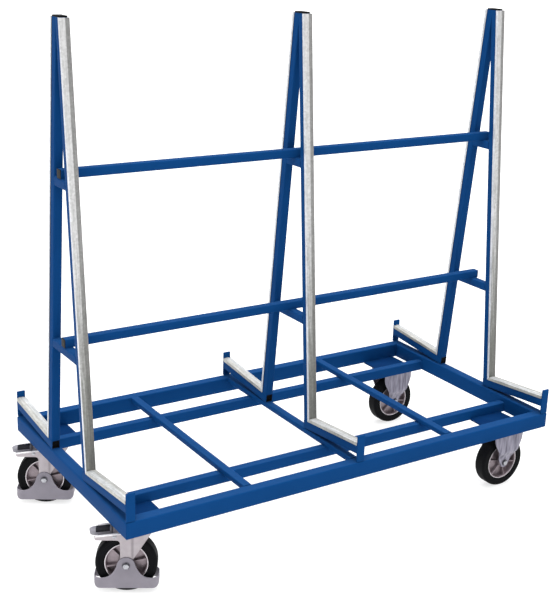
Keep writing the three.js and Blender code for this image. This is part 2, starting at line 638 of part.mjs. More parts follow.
// Guard with the axle at x = 0: two side plates that flare from the axle to a wide base, joined by
// end walls that wrap round the wheel
function guardGeometry() {
  const reach = WHEEL_RADIUS + GUARD_REACH;
  const baseTop = GUARD_BOTTOM + GUARD_BASE_HEIGHT;
  const hubX = GUARD_HUB_RADIUS * Math.cos(GUARD_HUB_ANGLE);
  const hubZ = WHEEL_RADIUS + GUARD_HUB_RADIUS * Math.sin(GUARD_HUB_ANGLE);
  const outline = new THREE.Shape();
  const toe = GUARD_TOE_RADIUS;
  outline.absarc(toe - reach, GUARD_BOTTOM + toe, toe, Math.PI, 3 * Math.PI / 2);
  outline.absarc(reach - toe, GUARD_BOTTOM + toe, toe, 3 * Math.PI / 2, 2 * Math.PI);
  outline.lineTo(reach, baseTop);
  outline.lineTo(GUARD_FLARE, baseTop);
  outline.quadraticCurveTo(hubX + GUARD_HUB_RADIUS / 2, baseTop, hubX, hubZ);
  outline.absarc(0, WHEEL_RADIUS, GUARD_HUB_RADIUS, GUARD_HUB_ANGLE, Math.PI - GUARD_HUB_ANGLE);
  outline.quadraticCurveTo(-hubX - GUARD_HUB_RADIUS / 2, baseTop, -GUARD_FLARE, baseTop);
  outline.lineTo(-reach, baseTop);

  const innerWidth = FORK_OUTER + 2 * SEAM_GAP;
  const outerWidth = innerWidth + 2 * GUARD_SHEET;
  const height = WHEEL_DIAMETER;
  const outerPlan = roundedRectangle(new THREE.Shape(), 2 * reach, outerWidth, GUARD_CORNER);
  const innerReach = reach - GUARD_SHEET;
  const innerCorner = GUARD_CORNER - GUARD_SHEET;
  const innerPlan = roundedRectangle(new THREE.Shape(), 2 * innerReach, innerWidth, innerCorner);
  const block = intersect(uprightPlate(outline, outerWidth), bar(outerPlan, height));
  const axleHole = crosswisePin(boreDiameter(AXLE_DIAMETER, SEAM_GAP), 2 * outerWidth);
  return cut(block, [bar(innerPlan, height), axleHole.translate(0, 0, WHEEL_RADIUS)]);
}

// Pedal about its pin: a barrel on a saddle, a lever whose underside is the brake shoe, and a pad.
// The lever lies as far below the pin as lets it meet the tyre at the end of the pedal's travel.
function pedalGeometry() {
  const lock = PEDAL_SLOPE + PEDAL_TRAVEL;
  const pinAboveAxle = WHEEL_RADIUS + PEDAL_PIN_LIFT;
  const reach = PEDAL_PIN_AHEAD * Math.sin(lock) + pinAboveAxle * Math.cos(lock);
  const shoe = WHEEL_RADIUS / Math.cos(Math.PI / WHEEL_SEGMENTS) + RUNNING_GAP - reach;
  const width = FORK_INNER - 2 * RUNNING_GAP;
  const radius = PEDAL_BARREL_DIAMETER / 2;

  const lever = new THREE.BoxGeometry(PEDAL_LEVER_LENGTH + radius, width, PEDAL_LEVER_SHEET);
  lever.translate((PEDAL_LEVER_LENGTH - radius) / 2, 0, shoe + PEDAL_LEVER_SHEET / 2);
  const saddle = new THREE.BoxGeometry(radius, width, -shoe);
  saddle.translate(0, 0, shoe / 2);

  const half = PEDAL_PAD_WIDTH / 2;
  const plan = new THREE.Shape();
  plan.moveTo(PEDAL_PAD_START, -half);
  plan.absarc(PEDAL_PAD_END - half, 0, half, -Math.PI / 2, Math.PI / 2);
  plan.lineTo(PEDAL_PAD_START, half);
  const padSettings = { depth: PEDAL_PAD_THICKNESS, bevelEnabled: false, curveSegments: PIN_SEGMENTS / 2 };
  const pad = new THREE.ExtrudeGeometry(plan, padSettings);
  pad.translate(0, 0, shoe + PEDAL_LEVER_SHEET - WELD_DEPTH);

  const barrel = crosswisePin(PEDAL_BARREL_DIAMETER, width);
  const bore = crosswisePin(boreDiameter(PEDAL_PIN_DIAMETER, RUNNING_GAP), 2 * width);
  return cut(join([barrel, saddle, lever, pad]), [bore]);
}

function buildSwivelCaster(prefix) {
  const caster = new THREE.Group();
  caster.add(part(`${prefix}_caster_head`, headGeometry(), ZINC_PLATE));

  const swivel = new THREE.Group();
  swivel.rotation.z = SWIVEL_HEADING;
  swivel.add(part(`${prefix}_fork`, swivelForkGeometry(), ZINC_PLATE));

  const guard = part(`${prefix}_foot_guard`, guardGeometry(), GREY_PAINT);
  guard.position.x = TRAIL;
  swivel.add(guard);

  const wheel = buildWheel(prefix);
  wheel.position.set(TRAIL, 0, WHEEL_RADIUS);
  swivel.add(wheel);

  const pedal = part(`${prefix}_brake_pedal`, pedalGeometry(), GREY_PAINT);
  pedal.position.set(TRAIL + PEDAL_PIN_AHEAD, 0, PEDAL_PIN_LEVEL);
  pedal.rotation.y = PEDAL_SLOPE;
  swivel.add(pedal);

  caster.add(swivel);
  return caster;
}

// The whole cart

const cart = new THREE.Group();
cart.add(buildBaseFrame());
cart.add(buildAFrame('left', -A_FRAME_X));
cart.add(buildAFrame('middle', 0));
cart.add(buildAFrame('right', A_FRAME_X));
cart.add(rail('lower_rail', LOWER_RAIL_LEVEL));
cart.add(rail('upper_rail', UPPER_RAIL_LEVEL));

[['front', -CASTER_Y], ['back', CASTER_Y]].forEach(([row, y]) => {
  const swivelCaster = buildSwivelCaster(`${row}_left`);
  swivelCaster.position.set(-SWIVEL_X, y, 0);
  const fixedCaster = buildFixedCaster(`${row}_right`);
  fixedCaster.position.set(FIXED_X, y, 0);
  cart.add(swivelCaster, fixedCaster);
});

// The origin lies on the floor under the middle of the footprint, brake pedals included
const footprint = new THREE.Box3().setFromObject(cart, true);
cart.position.x = -(footprint.min.x + footprint.max.x) / 2;

export default cart;
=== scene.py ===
"""Looks of a sheet goods cart: a welded blue tube frame with galvanised profiles, on two swivel
casters with brakes and two fixed ones.

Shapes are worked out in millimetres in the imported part's frame, +Z up with the floor at z = 0,
and put into the meshes in metres."""

import json
import math

import bmesh
import bpy
import numpy as np
from mathutils import Matrix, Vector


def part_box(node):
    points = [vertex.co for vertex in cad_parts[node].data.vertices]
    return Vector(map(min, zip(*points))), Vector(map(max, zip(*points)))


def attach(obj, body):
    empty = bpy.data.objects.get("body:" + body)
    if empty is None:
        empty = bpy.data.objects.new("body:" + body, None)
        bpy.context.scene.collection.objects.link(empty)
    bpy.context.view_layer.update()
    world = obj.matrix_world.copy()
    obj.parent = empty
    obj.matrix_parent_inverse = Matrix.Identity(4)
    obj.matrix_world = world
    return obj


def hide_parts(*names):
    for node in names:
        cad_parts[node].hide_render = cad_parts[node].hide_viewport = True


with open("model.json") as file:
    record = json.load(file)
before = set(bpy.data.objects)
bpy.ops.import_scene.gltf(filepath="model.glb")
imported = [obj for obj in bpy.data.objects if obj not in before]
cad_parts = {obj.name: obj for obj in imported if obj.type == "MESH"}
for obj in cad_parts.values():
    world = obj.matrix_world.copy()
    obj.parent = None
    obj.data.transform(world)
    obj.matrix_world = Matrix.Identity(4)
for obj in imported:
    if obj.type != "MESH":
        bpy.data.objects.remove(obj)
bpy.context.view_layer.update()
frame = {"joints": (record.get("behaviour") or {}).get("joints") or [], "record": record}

MM = 0.001
X, Y, Z = np.eye(3)

# Camera that sees the cart as the picture does, in a picture of 560 by 600
PICTURE_HEIGHT = 600
FOCAL_PIXELS = 1171.0
SENSOR = 36.0
CAMERA_AZIMUTH = -33.163
CAMERA_ELEVATION = 17.953
CAMERA_ROLL = 1.912
CAMERA_PLACE = (-2.2202, -3.3482, 2.0672)

# Welded tube work
SEAM = 0.3
EDGE_EASE = 0.5
PLATE_EASE = 0.8
FRAME_TUBE_WIDTH = 40
FRAME_TUBE_HEIGHT = 60
FRAME_TUBE_RADIUS = 6
FRAME_TUBE_WALL = 3
LIGHT_TUBE = 30
LIGHT_TUBE_RADIUS = 3.5
LIGHT_TUBE_WALL = 2
STRINGER_SPACING = 510
CORNER_PLATE_THICKNESS = 6
CORNER_PLATE_RADIUS = 1.5
CORNER_PLATE_EASE = 0.6
FIXED_CORNER_PLATE = 154
FIXED_CORNER_SHIFT = 19
SWIVEL_CORNER_PLATE = 132
STOP_THICKNESS = 6
STOP_CORNER = 2

# Weld beads: their size, their ripples, how bluntly they end, and how far they reach along seams
WELD_RADIUS = 2.2
WELD_STEP = 1.0
WELD_ROUND_STEPS = 8
WELD_RIPPLE = 3.2
WELD_SWELL = 0.14
WELD_END_POWER = 8
WELD_END_CUT = 0.96
WELD_LIFT = 0.5
WELD_LONG_HALF = 12
WELD_SHORT_HALF = 11
WELD_EDGE = 14
LEG_WELD = (3, 28)
ASLANT = (0.31, 0.52, 0.79)

# A-frames
LEG_DEPTH = 29
LEG_INSET = 4
REST_HEIGHT = 33
CAP_THICKNESS = 5
CAP_CORNER = 3
CAP_EASE = 1.4
COVER_WIDTH = 33.6
COVER_STANDOFF = 11.5
COVER_LAP = 1.5
COVER_SHEET = 1.5
COVER_BEND = 2.2
COVER_FOLD = 3
COVER_FOLD_HALF = 1
COVER_FOLD_SINK = 0.06
COVER_FALL = 1.6
COVER_SLANT = 4

# Plastic plugs in the tubes' ends
PLUG_HEAD = 1.6
PLUG_HEAD_EASE = 0.6
PLUG_DEPTH = 9
PLUG_CORNER = 2
PLUG_WALL = 2.2
PLUG_EASE = 0.4
PLUG_LAP = 3
PLUG_FLOOR = 2
PLUG_FLOOR_LEVEL = 5
PLUG_RIB_WIDTH = 2
PLUG_RIB_CORNER = 0.6
PLUG_RIB_HEIGHT = 3.4
PLUG_RIB_LEVEL = 2.8

# Wheels
WHEEL_RADIUS = 100
TYRE_SHOULDER = 9
TYRE_SHOULDER_CENTRE = (91, 16)
TYRE_SHOULDER_START = 8
RIM_INNER = 64
HUB_RADIUS = 23
WEB_HALF = 4
WEB_DISH = 5
WEB_LAP = 2
RIBS = 6
RIB_PHASE = 133
RIB_THICKNESS = 9.1
RIB_DEPTH = 39
RIB_LAP = 3
RIB_CORNER = 0.25
RIB_SWELL = 0.5
RIB_TAPER = 0.45
RIB_SCOOP = 8
AXLE_RADIUS = 6
AXLE_WASHER_THICKNESS = 1.5

# Sections that are turned about an axis, as radius and height; those of tyre, barrel and hub are
# halves, from the wheel's middle plane outwards
TYRE_TREAD = ((100, 0), (99.85, 13))
TYRE_SIDE = ((87, 25), (86.2, 24.1), (79, 24.1), (78.2, 24.7), (73.3, 24), (70.3, 22))
RIM_BARREL = (
    (68.5, 0), (68.5, 16), (70, 17), (70, 21), (69, 22), (66, 22), (65, 21), (64, 18), (62.5, 6),
    (62, 0),
)
RIM_HUB = ((25, 0), (23, 9), (21.5, 28), (20, 29.5), (16.5, 29.5), (16.5, 21.5), (7, 21.5), (7, 0))
RIM_EDGE = ((69.8, 20.8), (69.8, 22.3), (67.8, 22.3), (67.5, 20.8))
BEARING = (
    (16.3, 28.3), (13.8, 28.3), (13.5, 27.5), (10, 27.5), (9.7, 28.3), (6.6, 28.3), (6.6, 21.8),
    (16.3, 21.8),
)
AXLE_HEAD = ((10.5, 0), (10.5, 4.95), (8.4, 6))
AXLE_WASHER = ((12.625, 0), (13, 0.375), (13, 1.125), (12.625, 1.5))
MOUNT_HEAD = ((7.5, 0), (7.5, 5.75), (6, 6.5))
MOUNT_WASHER = ((9.15, 0), (9.5, 0.35), (9.5, 1.05), (9.15, 1.4))
THREAD_END = ((5, 0), (5, 6.8), (4, 7.8))
RIVET_SHANK = ((4, -37), (4, 37))
RIVET_DOME = ((7, 0), (6.4, 1.6), (4.4, 3), (0, 3.8))
BALL_RACE = (
    (0, 249.5), (33, 249.5), (33, 244), (31.5, 243.4), (31.5, 242.6), (33, 242), (33, 238),
    (31, 236.4), (8, 236.4), (8, 227.7), (14, 227.7), (14, 220), (13, 218.8), (0, 218.8),
)
PEDAL_BARREL = ((4.5, -29.7), (7, -29.7), (8, -28.7), (8, 28.7), (7, 29.7), (4.5, 29.7))

# Forks and plates of the casters
FORK_MIDDLE = 32.5
FORK_SHEET = 5
FORK_EYE = 19
EYE_START = -89
EDGE_THINNEST = 0.002
SWIVEL_PLATE = (110, 135)
FIXED_PLATE = (140, 110)
PLATE_BOTTOM = 249
PLATE_THICKNESS = 6
PLATE_CORNER = 10
PLATE_SINK = 0.5
BOLT_EDGE = 16
MOUNT_WASHER_THICKNESS = 1.4
FIXED_SHOULDER = 200
FIXED_SLANT_SHARE = 0.86
FIXED_TURN_RISE = 12
FIXED_SIDE_RISE = 30
FIXED_BEND_LOW = 114
FIXED_BEND_HIGH = 160
FIXED_CREASE = 43
FIXED_WING_BEND = 0.2
CREASE_DEPTH = 1.3
CREASE_WIDTH = 4
FOLD_SHADE = 8
CROWN_FRONT = 46
CROWN_BOTTOM = 228
CROWN_THICKNESS = 8
CROWN_CORNER = 9
CROWN_EASE = 3
CROWN_SINK = 1.5
FORK_CREASE = 29.5
FORK_BEND = 0.12
FORK_FRONT_ANGLE = 150
ARM_LENGTH = 80
ARM_SHEET = 4.6
ARM_EASE = 1
ARM_ROOT = 9
ARM_OVERLAP = 0.5
ARM_TOP_DROP = 3
ARM_TIP_DROP = 13
ARM_UNDERSIDE_DROP = 28
ARM_FILLET = 13
ARM_TIP_RADIUS = 7
ARM_LIP_START = (-6, 0, -1)
ARM_LIP_END = (76, 0, -13)
ARM_LIP_WIDTH = 10
ARM_LIP_THICKNESS = 4.5
ARM_LIP_RADIUS = 2.15
ARM_LIP_SHIFT = 4.7
ARM_RIVET_REACH = 86
ARM_RIVET_LEVEL = 202

# Foot guard
GUARD_HALF_WIDTH = 38.3
GUARD_REACH = 104
GUARD_SHEET = 3
GUARD_EASE = 0.9
GUARD_EASE_SHARE = 0.4
GUARD_BOTTOM = 19
GUARD_TOE = 14
GUARD_BASE_TOP = 56
GUARD_FLARE = 78
GUARD_HUB = 29
GUARD_HUB_ANGLE = 20
GUARD_CORNER = 24
GUARD_TURN = 88

# Brake pedal
PEDAL_SLOPE = 7
PEDAL_SHOE = -12.8
PEDAL_WIDTH = 59.4
PEDAL_LEVER_LENGTH = 80
PEDAL_LEVER_SHEET = 3
PEDAL_LEVER_CORNER = 4
PEDAL_BARREL_RADIUS = 8
SADDLE_TOP = -5
SADDLE_WIDTH = 58.4
SADDLE_CORNER = 1
SADDLE_EASE = 0.6
PAD_START = 34
PAD_START_STEPS = (0, 0.6, 2)
PAD_START_SHARES = (0.9, 0.96, 1)
PAD_END = 106
PAD_HALF_WIDTH = 16
PAD_TIP = 20
PAD_TIP_HEIGHT = 0.4
PAD_TIP_WIDTH = 0.02
PAD_TOP = 11.2
PAD_CROWN = 10
PAD_FOOT = 2.5
INLAY_SETBACK = 5
INLAY_TIP_GAP = 2
INLAY_EDGE = 0.6
INLAY_PROUD = 0.5
INLAY_SINK = 1

# Patterns of the finishes, and the part of a noise's range that holds most of its values
STREAK_WIDTH = 4
STREAK_LENGTH = 90
SPANGLE = 7
NOISE_RANGE = {"From Min": 0.3, "From Max": 0.7}

# Studio light
SKY_OVERHEAD = 6.6
SKY_HORIZON = 0.2
SKY_FOCUS = 4.0
SKY_LEAN = (0.08, -0.15, 0)
BACKDROP = 1.2
FLOOR_GLOW = (1.0, 0.55)
GLOW_SPAN = (-1.2, 1.2)
FLOOR_SEEN = 0.72
FLOOR_REACH = 90000
FLOOR_LEVEL = -0.5

# Fineness of the curves
EASE_TURNS = (0, 30, 60, 90)
CORNER_STEPS = 4
BEND_STEPS = 6
EYE_STEPS = 14
ROUND_STEPS = 72
SMALL_ROUND_STEPS = 32
THREAD_STEPS = 24
WHEEL_STEPS = 96
HEXAGON = 6
WEB_STEPS = 12
RIB_STEPS = 13
SLANT_STEPS = 22
FIXED_SLANT_STEPS = 18
FORK_COLUMNS = 81
FIXED_COLUMNS = 121
ARM_FILLET_STEPS = 8
GUARD_DOME_STEPS = 16
GUARD_FLARE_STEPS = 18
GUARD_END_STEPS = 10
PAD_CROWN_STEPS = 8
PAD_FOOT_STEPS = 3
PAD_TIP_STEPS = 14
SMOOTH_BELOW = 32
MERGE_DISTANCE = 1e-7


def corners(node):
    """Lowest and highest corner of a solid at rest, in millimetres."""
    return np.array(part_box(node)) / MM


def joint_place(name):
    """Where a joint sits at rest, in millimetres."""
    return np.array(JOINTS[name]["pos_m"]) / MM


def unit(vector):
    """The vector at length one."""
    return np.asarray(vector, float) / np.linalg.norm(vector)


def unit_rows(vectors):
    """Each row at length one."""
    return vectors / np.linalg.norm(vectors, axis=1, keepdims=True)


def smooth_step(value, start, end):
    """Zero before start, one after end, with an S-shaped rise between them."""
    share = np.clip((value - start) / (end - start), 0, 1)
    return share * share * (3 - 2 * share)


JOINTS = {joint["name"]: joint for joint in frame["joints"]}
MOUNTS = {mount["name"]: mount for mount in frame["record"]["mounts"]}
LEFT = corners("left_end_member")[0][0]
RIGHT = corners("right_end_member")[1][0]
FRONT, FRAME_BOTTOM = corners("front_side_member")[0][1:]
BACK = corners("back_side_member")[1][1]
FRAME_TOP = corners("left_end_member")[1][2]
LEAN = math.asin(MOUNTS["back_lean_face"]["axis"][2])
SINE, COSINE, SLOPE = math.sin(LEAN), math.cos(LEAN), math.tan(LEAN)
# The tubes of the legs are a little deeper than their solids, on the inner side
_, HEEL_Y, HEEL_Z = corners("middle_back_rest")[0] + (
    0, REST_HEIGHT * SINE - LEG_INSET * COSINE, -LEG_INSET * SINE
)
TUBE_TOP = corners("middle_back_leg")[1][2] - CAP_THICKNESS
STOP_TOP = corners("front_side_member")[1][2]
STOP_FACE = BACK - STOP_THICKNESS - SEAM
STRINGER_TOP = corners("left_cross_bar")[0][2] - SEAM
A_FRAMES = {
    place: corners(f"{place}_back_leg").mean(0)[0] for place in ("left", "middle", "right")
}
SIDES = {"back": 1, "front": -1}
LEVELS = ("lower", "upper")


# Surfaces: arrays of points with their faces

def skin(rings, closed=False):
    """Surface over rings of equally many points: quads between neighbours of two rings, with a
    flat face over the first and the last ring, or back from the last ring to the first where it
    is closed."""
    rings = np.asarray(rings, float)
    numbers = np.arange(rings.shape[0] * rings.shape[1]).reshape(rings.shape[:2])
    beside = np.roll(numbers, -1, 1)
    quads = np.stack([numbers, beside, np.roll(beside, -1, 0), np.roll(numbers, -1, 0)], -1)
    if closed:
        faces = quads.reshape(-1, 4).tolist()
    else:
        faces = quads[:-1].reshape(-1, 4).tolist() + numbers[[0, -1]].tolist()
    return rings.reshape(-1, 3), faces


def moved(surface, origin=(0, 0, 0), x_axis=X, y_axis=Y, z_axis=Z):
    """The surface with its own x, y and z laid along three directions from an origin."""
    points, faces = surface
    return np.asarray(origin, float) + points @ np.array([x_axis, y_axis, z_axis]), faces


def placed(surfaces, *where):
    """Several surfaces that are moved alike."""
    return [moved(surface, *where) for surface in surfaces]


def both_sides(surface):
    """A surface and its copy turned over about x."""
    return [surface, moved(surface, (0, 0, 0), X, -Y, -Z)]


def rounded_rectangle(width, height, radius, steps=CORNER_STEPS):
    """Outline of a rectangle with a quarter circle at each corner, anticlockwise."""
    quarter = np.arange(4)[:, None] * math.pi / 2
    angle = quarter + np.linspace(0, math.pi / 2, steps + 1)
    middle = quarter + math.pi / 4
    x = np.sign(np.cos(middle)) * (width / 2 - radius) + radius * np.cos(angle)
    y = np.sign(np.sin(middle)) * (height / 2 - radius) + radius * np.sin(angle)
    return np.stack([x.ravel(), y.ravel()], -1)


def arc(centre, radius, start, end, steps):
    """Points of a circle from one angle in degrees to another."""
    angle = np.radians(np.linspace(start, end, steps + 1))
    return np.asarray(centre) + radius * np.stack([np.cos(angle), np.sin(angle)], -1)


def curve(start, pull, end, steps):
    """Points of a quadratic curve that leaves start towards a pull point and arrives from it."""
    share = np.linspace(0, 1, steps + 1)[:, None]
    start, pull, end = map(np.asarray, (start, pull, end))
    return (1 - share) ** 2 * start + 2 * share * (1 - share) * pull + share ** 2 * end


def inset(outline, distance):
    """An anticlockwise outline moved inwards along the mean normal of its two edges at a point."""
    ahead = np.roll(outline, -1, 0) - outline
    behind = outline - np.roll(outline, 1, 0)
    along = unit_rows(unit_rows(ahead) + unit_rows(behind))
    return outline + distance * np.stack([-along[:, 1], along[:, 0]], -1)


def ring(outline, height, slope=(0, 0)):
    """An outline at a height; a slope raises each point by that share of its x and y."""
    return np.column_stack([outline, height + outline @ np.asarray(slope, float)])


def hollow_bar(length, width, height, radius, wall, start_slope=(0, 0), end_slope=(0, 0)):
    """Tube along z: a rounded outline carried from end to end, turned in over an eased rim and
    carried back as the bore."""
    outer = rounded_rectangle(width, height, radius)
    rim = rounded_rectangle(width - 2 * EDGE_EASE, height - 2 * EDGE_EASE, radius - EDGE_EASE)
    bore_radius = max(radius - wall, EDGE_EASE)
    bore = rounded_rectangle(width - 2 * wall, height - 2 * wall, bore_radius)
    return skin([
        ring(rim, 0, start_slope),
        ring(outer, EDGE_EASE, start_slope),
        ring(outer, length - EDGE_EASE, end_slope),
        ring(rim, length, end_slope),
        ring(bore, length, end_slope),
        ring(bore, 0, start_slope),
    ], closed=True)


def light_tube(length, width=LIGHT_TUBE, height=LIGHT_TUBE, **slopes):
    """One of the lighter tubes along z, whose ends may slope."""
    return hollow_bar(length, width, height, LIGHT_TUBE_RADIUS, LIGHT_TUBE_WALL, **slopes)


def plate(outline, thickness, ease):
    """Flat plate about z = 0: an outline carried through the thickness, with rounded edges."""
    rings = []
    for side, turns in ((-1, EASE_TURNS), (1, EASE_TURNS[::-1])):
        for turn in np.radians(turns):
            level = side * (thickness / 2 - ease + ease * math.cos(turn))
            rings.append(ring(inset(outline, ease * (1 - math.sin(turn))), level))
    return skin(rings)


def turned(section, steps=ROUND_STEPS, closed=False):
    """Surface of revolution about z: points of radius and height spun in equal steps."""
    radius, height = np.asarray(section, float).T[:, :, None]
    angle = np.linspace(0, 2 * math.pi, steps, endpoint=False)
    rings = np.stack([
        radius * np.cos(angle), radius * np.sin(angle), np.repeat(height, steps, 1)
    ], -1)
    return skin(rings, closed)


def both_halves(half):
    """A half section followed by its mirror image below the middle plane, backwards, so that they
    close; a point in the plane is kept once."""
    half = np.asarray(half, float)
    return np.concatenate([half, half[half[:, 1] > 0][::-1] * (1, -1)])


def weld_bead(start, end):
    """Bead between two points: circles along the seam whose radius swells once per ripple and
    shrinks to nothing at both ends."""
    start, end = np.asarray(start, float), np.asarray(end, float)
    length = np.linalg.norm(end - start)
    share = np.linspace(0, 1, max(int(length / WELD_STEP), WELD_ROUND_STEPS))
    swell = 1 + WELD_SWELL * np.sin(2 * math.pi * share * length / WELD_RIPPLE)
    swell = WELD_RADIUS * swell * np.sqrt(1 - (2 * share - 1) ** WELD_END_POWER * WELD_END_CUT)
    along = unit(end - start)
    side = unit(np.cross(along, ASLANT))
    angle = np.linspace(0, 2 * math.pi, WELD_ROUND_STEPS, endpoint=False)[:, None]
    circle = np.cos(angle) * side + np.sin(angle) * np.cross(along, side)
    path = start + share[:, None] * (end - start)
    return skin(path[:, None] + swell[:, None, None] * circle)


# Finishes

def linear(colour):
    """An sRGB hex colour as linear red, green, blue and full cover."""
    srgb = np.array([int(colour[place:place + 2], 16) for place in (1, 3, 5)]) / 255
    low, high = srgb / 12.92, ((srgb + 0.055) / 1.055) ** 2.4
    return (*np.where(srgb <= 0.04045, low, high), 1.0)


def per_size(millimetres):
    """Scale of a pattern whose features are that wide."""
    return 1 / (millimetres * MM)


def add(tree, kind, inputs=None, **settings):
    """Adds a node with its settings; an input gets a value, or a link from another node's output,
    which is the first one in use where only the node is given."""
    node = tree.nodes.new(kind)
    for name, value in settings.items():
        setattr(node, name, value)
    for socket, value in (inputs or {}).items():
        if isinstance(value, bpy.types.Node):
            value = next(output for output in value.outputs if output.enabled)
        if isinstance(value, bpy.types.NodeSocket):
            tree.links.new(value, node.inputs[socket])
        else:
            node.inputs[socket].default_value = value
    return node


def new_material(name):
    """An empty node material, its tree and the piece's own coordinates."""
    material = bpy.data.materials.new(name)
    material.use_nodes = True
    tree = material.node_tree
    tree.nodes.clear()
    return material, tree, add(tree, "ShaderNodeTexCoord").outputs["Object"]


def mottled_finish(
    name, dark, light, mottle, roughness, grain, depth, metallic=0.0, gloss=0.5, squeeze=(1, 1, 1)
):
    """A finish that drifts between two colours and two roughnesses in soft patches of a mottle
    size, over a fine grain of a bump depth, all in millimetres; gloss is the share of specular,
    and patches are drawn out along an axis where the squeeze is below one."""
    material, tree, place = new_material(name)
    squeezed = add(tree, "ShaderNodeMapping", {"Vector": place, "Scale": squeeze})
    patches = add(tree, "ShaderNodeTexNoise", {
        "Vector": squeezed, "Scale": per_size(mottle), "Detail": 3.0, "Roughness": 0.55,
    })
    spread = add(tree, "ShaderNodeMapRange", {"Value": patches, **NOISE_RANGE})
    colour = add(tree, "ShaderNodeMix", {
        0: spread, 6: linear(dark), 7: linear(light),
    }, data_type="RGBA")
    sheen = add(tree, "ShaderNodeMapRange", {
        "Value": patches, **NOISE_RANGE, "To Min": roughness[0], "To Max": roughness[1],
    })
    fine = add(tree, "ShaderNodeTexNoise", {
        "Vector": place, "Scale": per_size(grain), "Detail": 2.0, "Roughness": 0.5,
    })
    bump = add(tree, "ShaderNodeBump", {"Height": fine, "Strength": 0.6, "Distance": depth * MM})
    shader = add(tree, "ShaderNodeBsdfPrincipled", {
        "Base Color": colour, "Roughness": sheen, "Normal": bump, "Metallic": metallic,
        "Specular IOR Level": gloss,
    })
    add(tree, "ShaderNodeOutputMaterial", {"Surface": shader})
    return material


def galvanised_finish(name, low, high, flanges, streaking):
    """Rolled zinc: grains of spangle, streaks that run along the sheet, and a band of painted shade
    on one side of the fold, which follows the place across the sheet from -1 to 1; low and high
    give the colours of the bright side and the side of painted shade near the floor and near the
    top, which meet in ragged streaks, while the flanges have their own colour; streaking is the
    least and the most that streaks shade."""
    material, tree, place = new_material(name)
    across = add(tree, "ShaderNodeAttribute", attribute_name="across").outputs["Fac"]
    height = add(tree, "ShaderNodeSeparateXYZ", {"Vector": place}).outputs["Z"]
    stretched = add(tree, "ShaderNodeMapping", {
        "Vector": place,
        "Scale": (per_size(STREAK_WIDTH), per_size(STREAK_LENGTH), per_size(STREAK_LENGTH)),
    })
    streaks = add(tree, "ShaderNodeTexNoise", {
        "Vector": stretched, "Scale": 1.0, "Detail": 3.0, "Roughness": 0.6,
    })
    band = add(tree, "ShaderNodeMapRange", {
        "Value": across, "From Min": 0.0, "From Max": 0.12,
    }, interpolation_type="SMOOTHSTEP")
    ragged = add(tree, "ShaderNodeMath", {0: streaks, 1: 0.6, 2: height}, operation="MULTIPLY_ADD")
    rise = add(tree, "ShaderNodeMapRange", {
        "Value": ragged, "From Min": 0.72, "From Max": 1.5,
    }, interpolation_type="SMOOTHSTEP")
    bright, painted_shade_side = (
        add(tree, "ShaderNodeMix", {0: rise, 6: linear(below), 7: linear(above)}, data_type="RGBA")
        for below, above in zip(low, high)
    )
    face = add(tree, "ShaderNodeMix", {0: band, 6: bright, 7: painted_shade_side}, data_type="RGBA")
    outwards = add(tree, "ShaderNodeMath", {0: across}, operation="ABSOLUTE")
    flange = add(tree, "ShaderNodeMapRange", {
        "Value": outwards, "From Min": 0.97, "From Max": 0.995,
    })
    base = add(tree, "ShaderNodeMix", {0: flange, 6: face, 7: linear(flanges)}, data_type="RGBA")
    grains = add(tree, "ShaderNodeTexVoronoi", {"Vector": place, "Scale": per_size(SPANGLE)})
    spangle = add(tree, "ShaderNodeMapRange", {
        "Value": grains.outputs["Color"], "To Min": 0.84, "To Max": 1.16,
    })
    shade = add(tree, "ShaderNodeMapRange", {
        "Value": streaks, **NOISE_RANGE, "To Min": streaking[0], "To Max": streaking[1],
    })
    shading = add(tree, "ShaderNodeMath", {0: spangle, 1: shade}, operation="MULTIPLY")
    streaked = add(tree, "ShaderNodeMix", {
        0: 1.0, 6: base, 7: shading,
    }, data_type="RGBA", blend_type="MULTIPLY")
    sheen = add(tree, "ShaderNodeMapRange", {
        "Value": streaks, **NOISE_RANGE, "To Min": 0.34, "To Max": 0.5,
    })
    bump = add(tree, "ShaderNodeBump", {"Height": streaks, "Strength": 0.5, "Distance": 0.04 * MM})
    shader = add(tree, "ShaderNodeBsdfPrincipled", {
        "Base Color": streaked, "Roughness": sheen, "Normal": bump, "Metallic": 0.3,
    })
    add(tree, "ShaderNodeOutputMaterial", {"Surface": shader})
    return material


def tint(material, share, colour):
    """Mixes a colour over a finish by a share that a node gives."""
    tree = material.node_tree
    base = tree.nodes["Principled BSDF"].inputs["Base Color"]
    tinted = add(tree, "ShaderNodeMix", {
        0: share, 6: base.links[0].from_socket, 7: linear(colour),
    }, data_type="RGBA")
    tree.links.new(tinted.outputs[2], base)


def shade_folds(material, colour):
    """Paints shade over a finish along the fold of a sheet, where the attribute fold is near zero.
    """
    tree = material.node_tree
    fold = add(tree, "ShaderNodeAttribute", attribute_name="fold").outputs["Fac"]
    distance = add(tree, "ShaderNodeMath", {0: fold}, operation="ABSOLUTE")
    near = add(tree, "ShaderNodeMapRange", {
        "Value": distance, "To Min": 0.6, "To Max": 0.0,
    }, interpolation_type="SMOOTHSTEP")
    tint(material, near, colour)


def paint_top_sheen(material, colour):
    """Paints a pale sheen over a finish where its face looks upwards."""
    tree = material.node_tree
    normal = add(tree, "ShaderNodeNewGeometry").outputs["Normal"]
    upwards = add(tree, "ShaderNodeSeparateXYZ", {"Vector": normal}).outputs["Z"]
    painted_sheen_share = add(tree, "ShaderNodeMapRange", {
        "Value": upwards, "From Min": 0.4, "From Max": 0.95,
    }, interpolation_type="SMOOTHSTEP")
    tint(material, painted_sheen_share, colour)


# Powder coat, sprayed and baked: an even satin blue with faint orange peel, with a painted pale
# sheen on faces that look up
POWDER_COAT = mottled_finish(
    "blue_powder_coat", "#0b3a6d", "#0d3d72", 160, (0.46, 0.54), 3.5, 0.05, gloss=0.015
)
paint_top_sheen(POWDER_COAT, "#153a67")
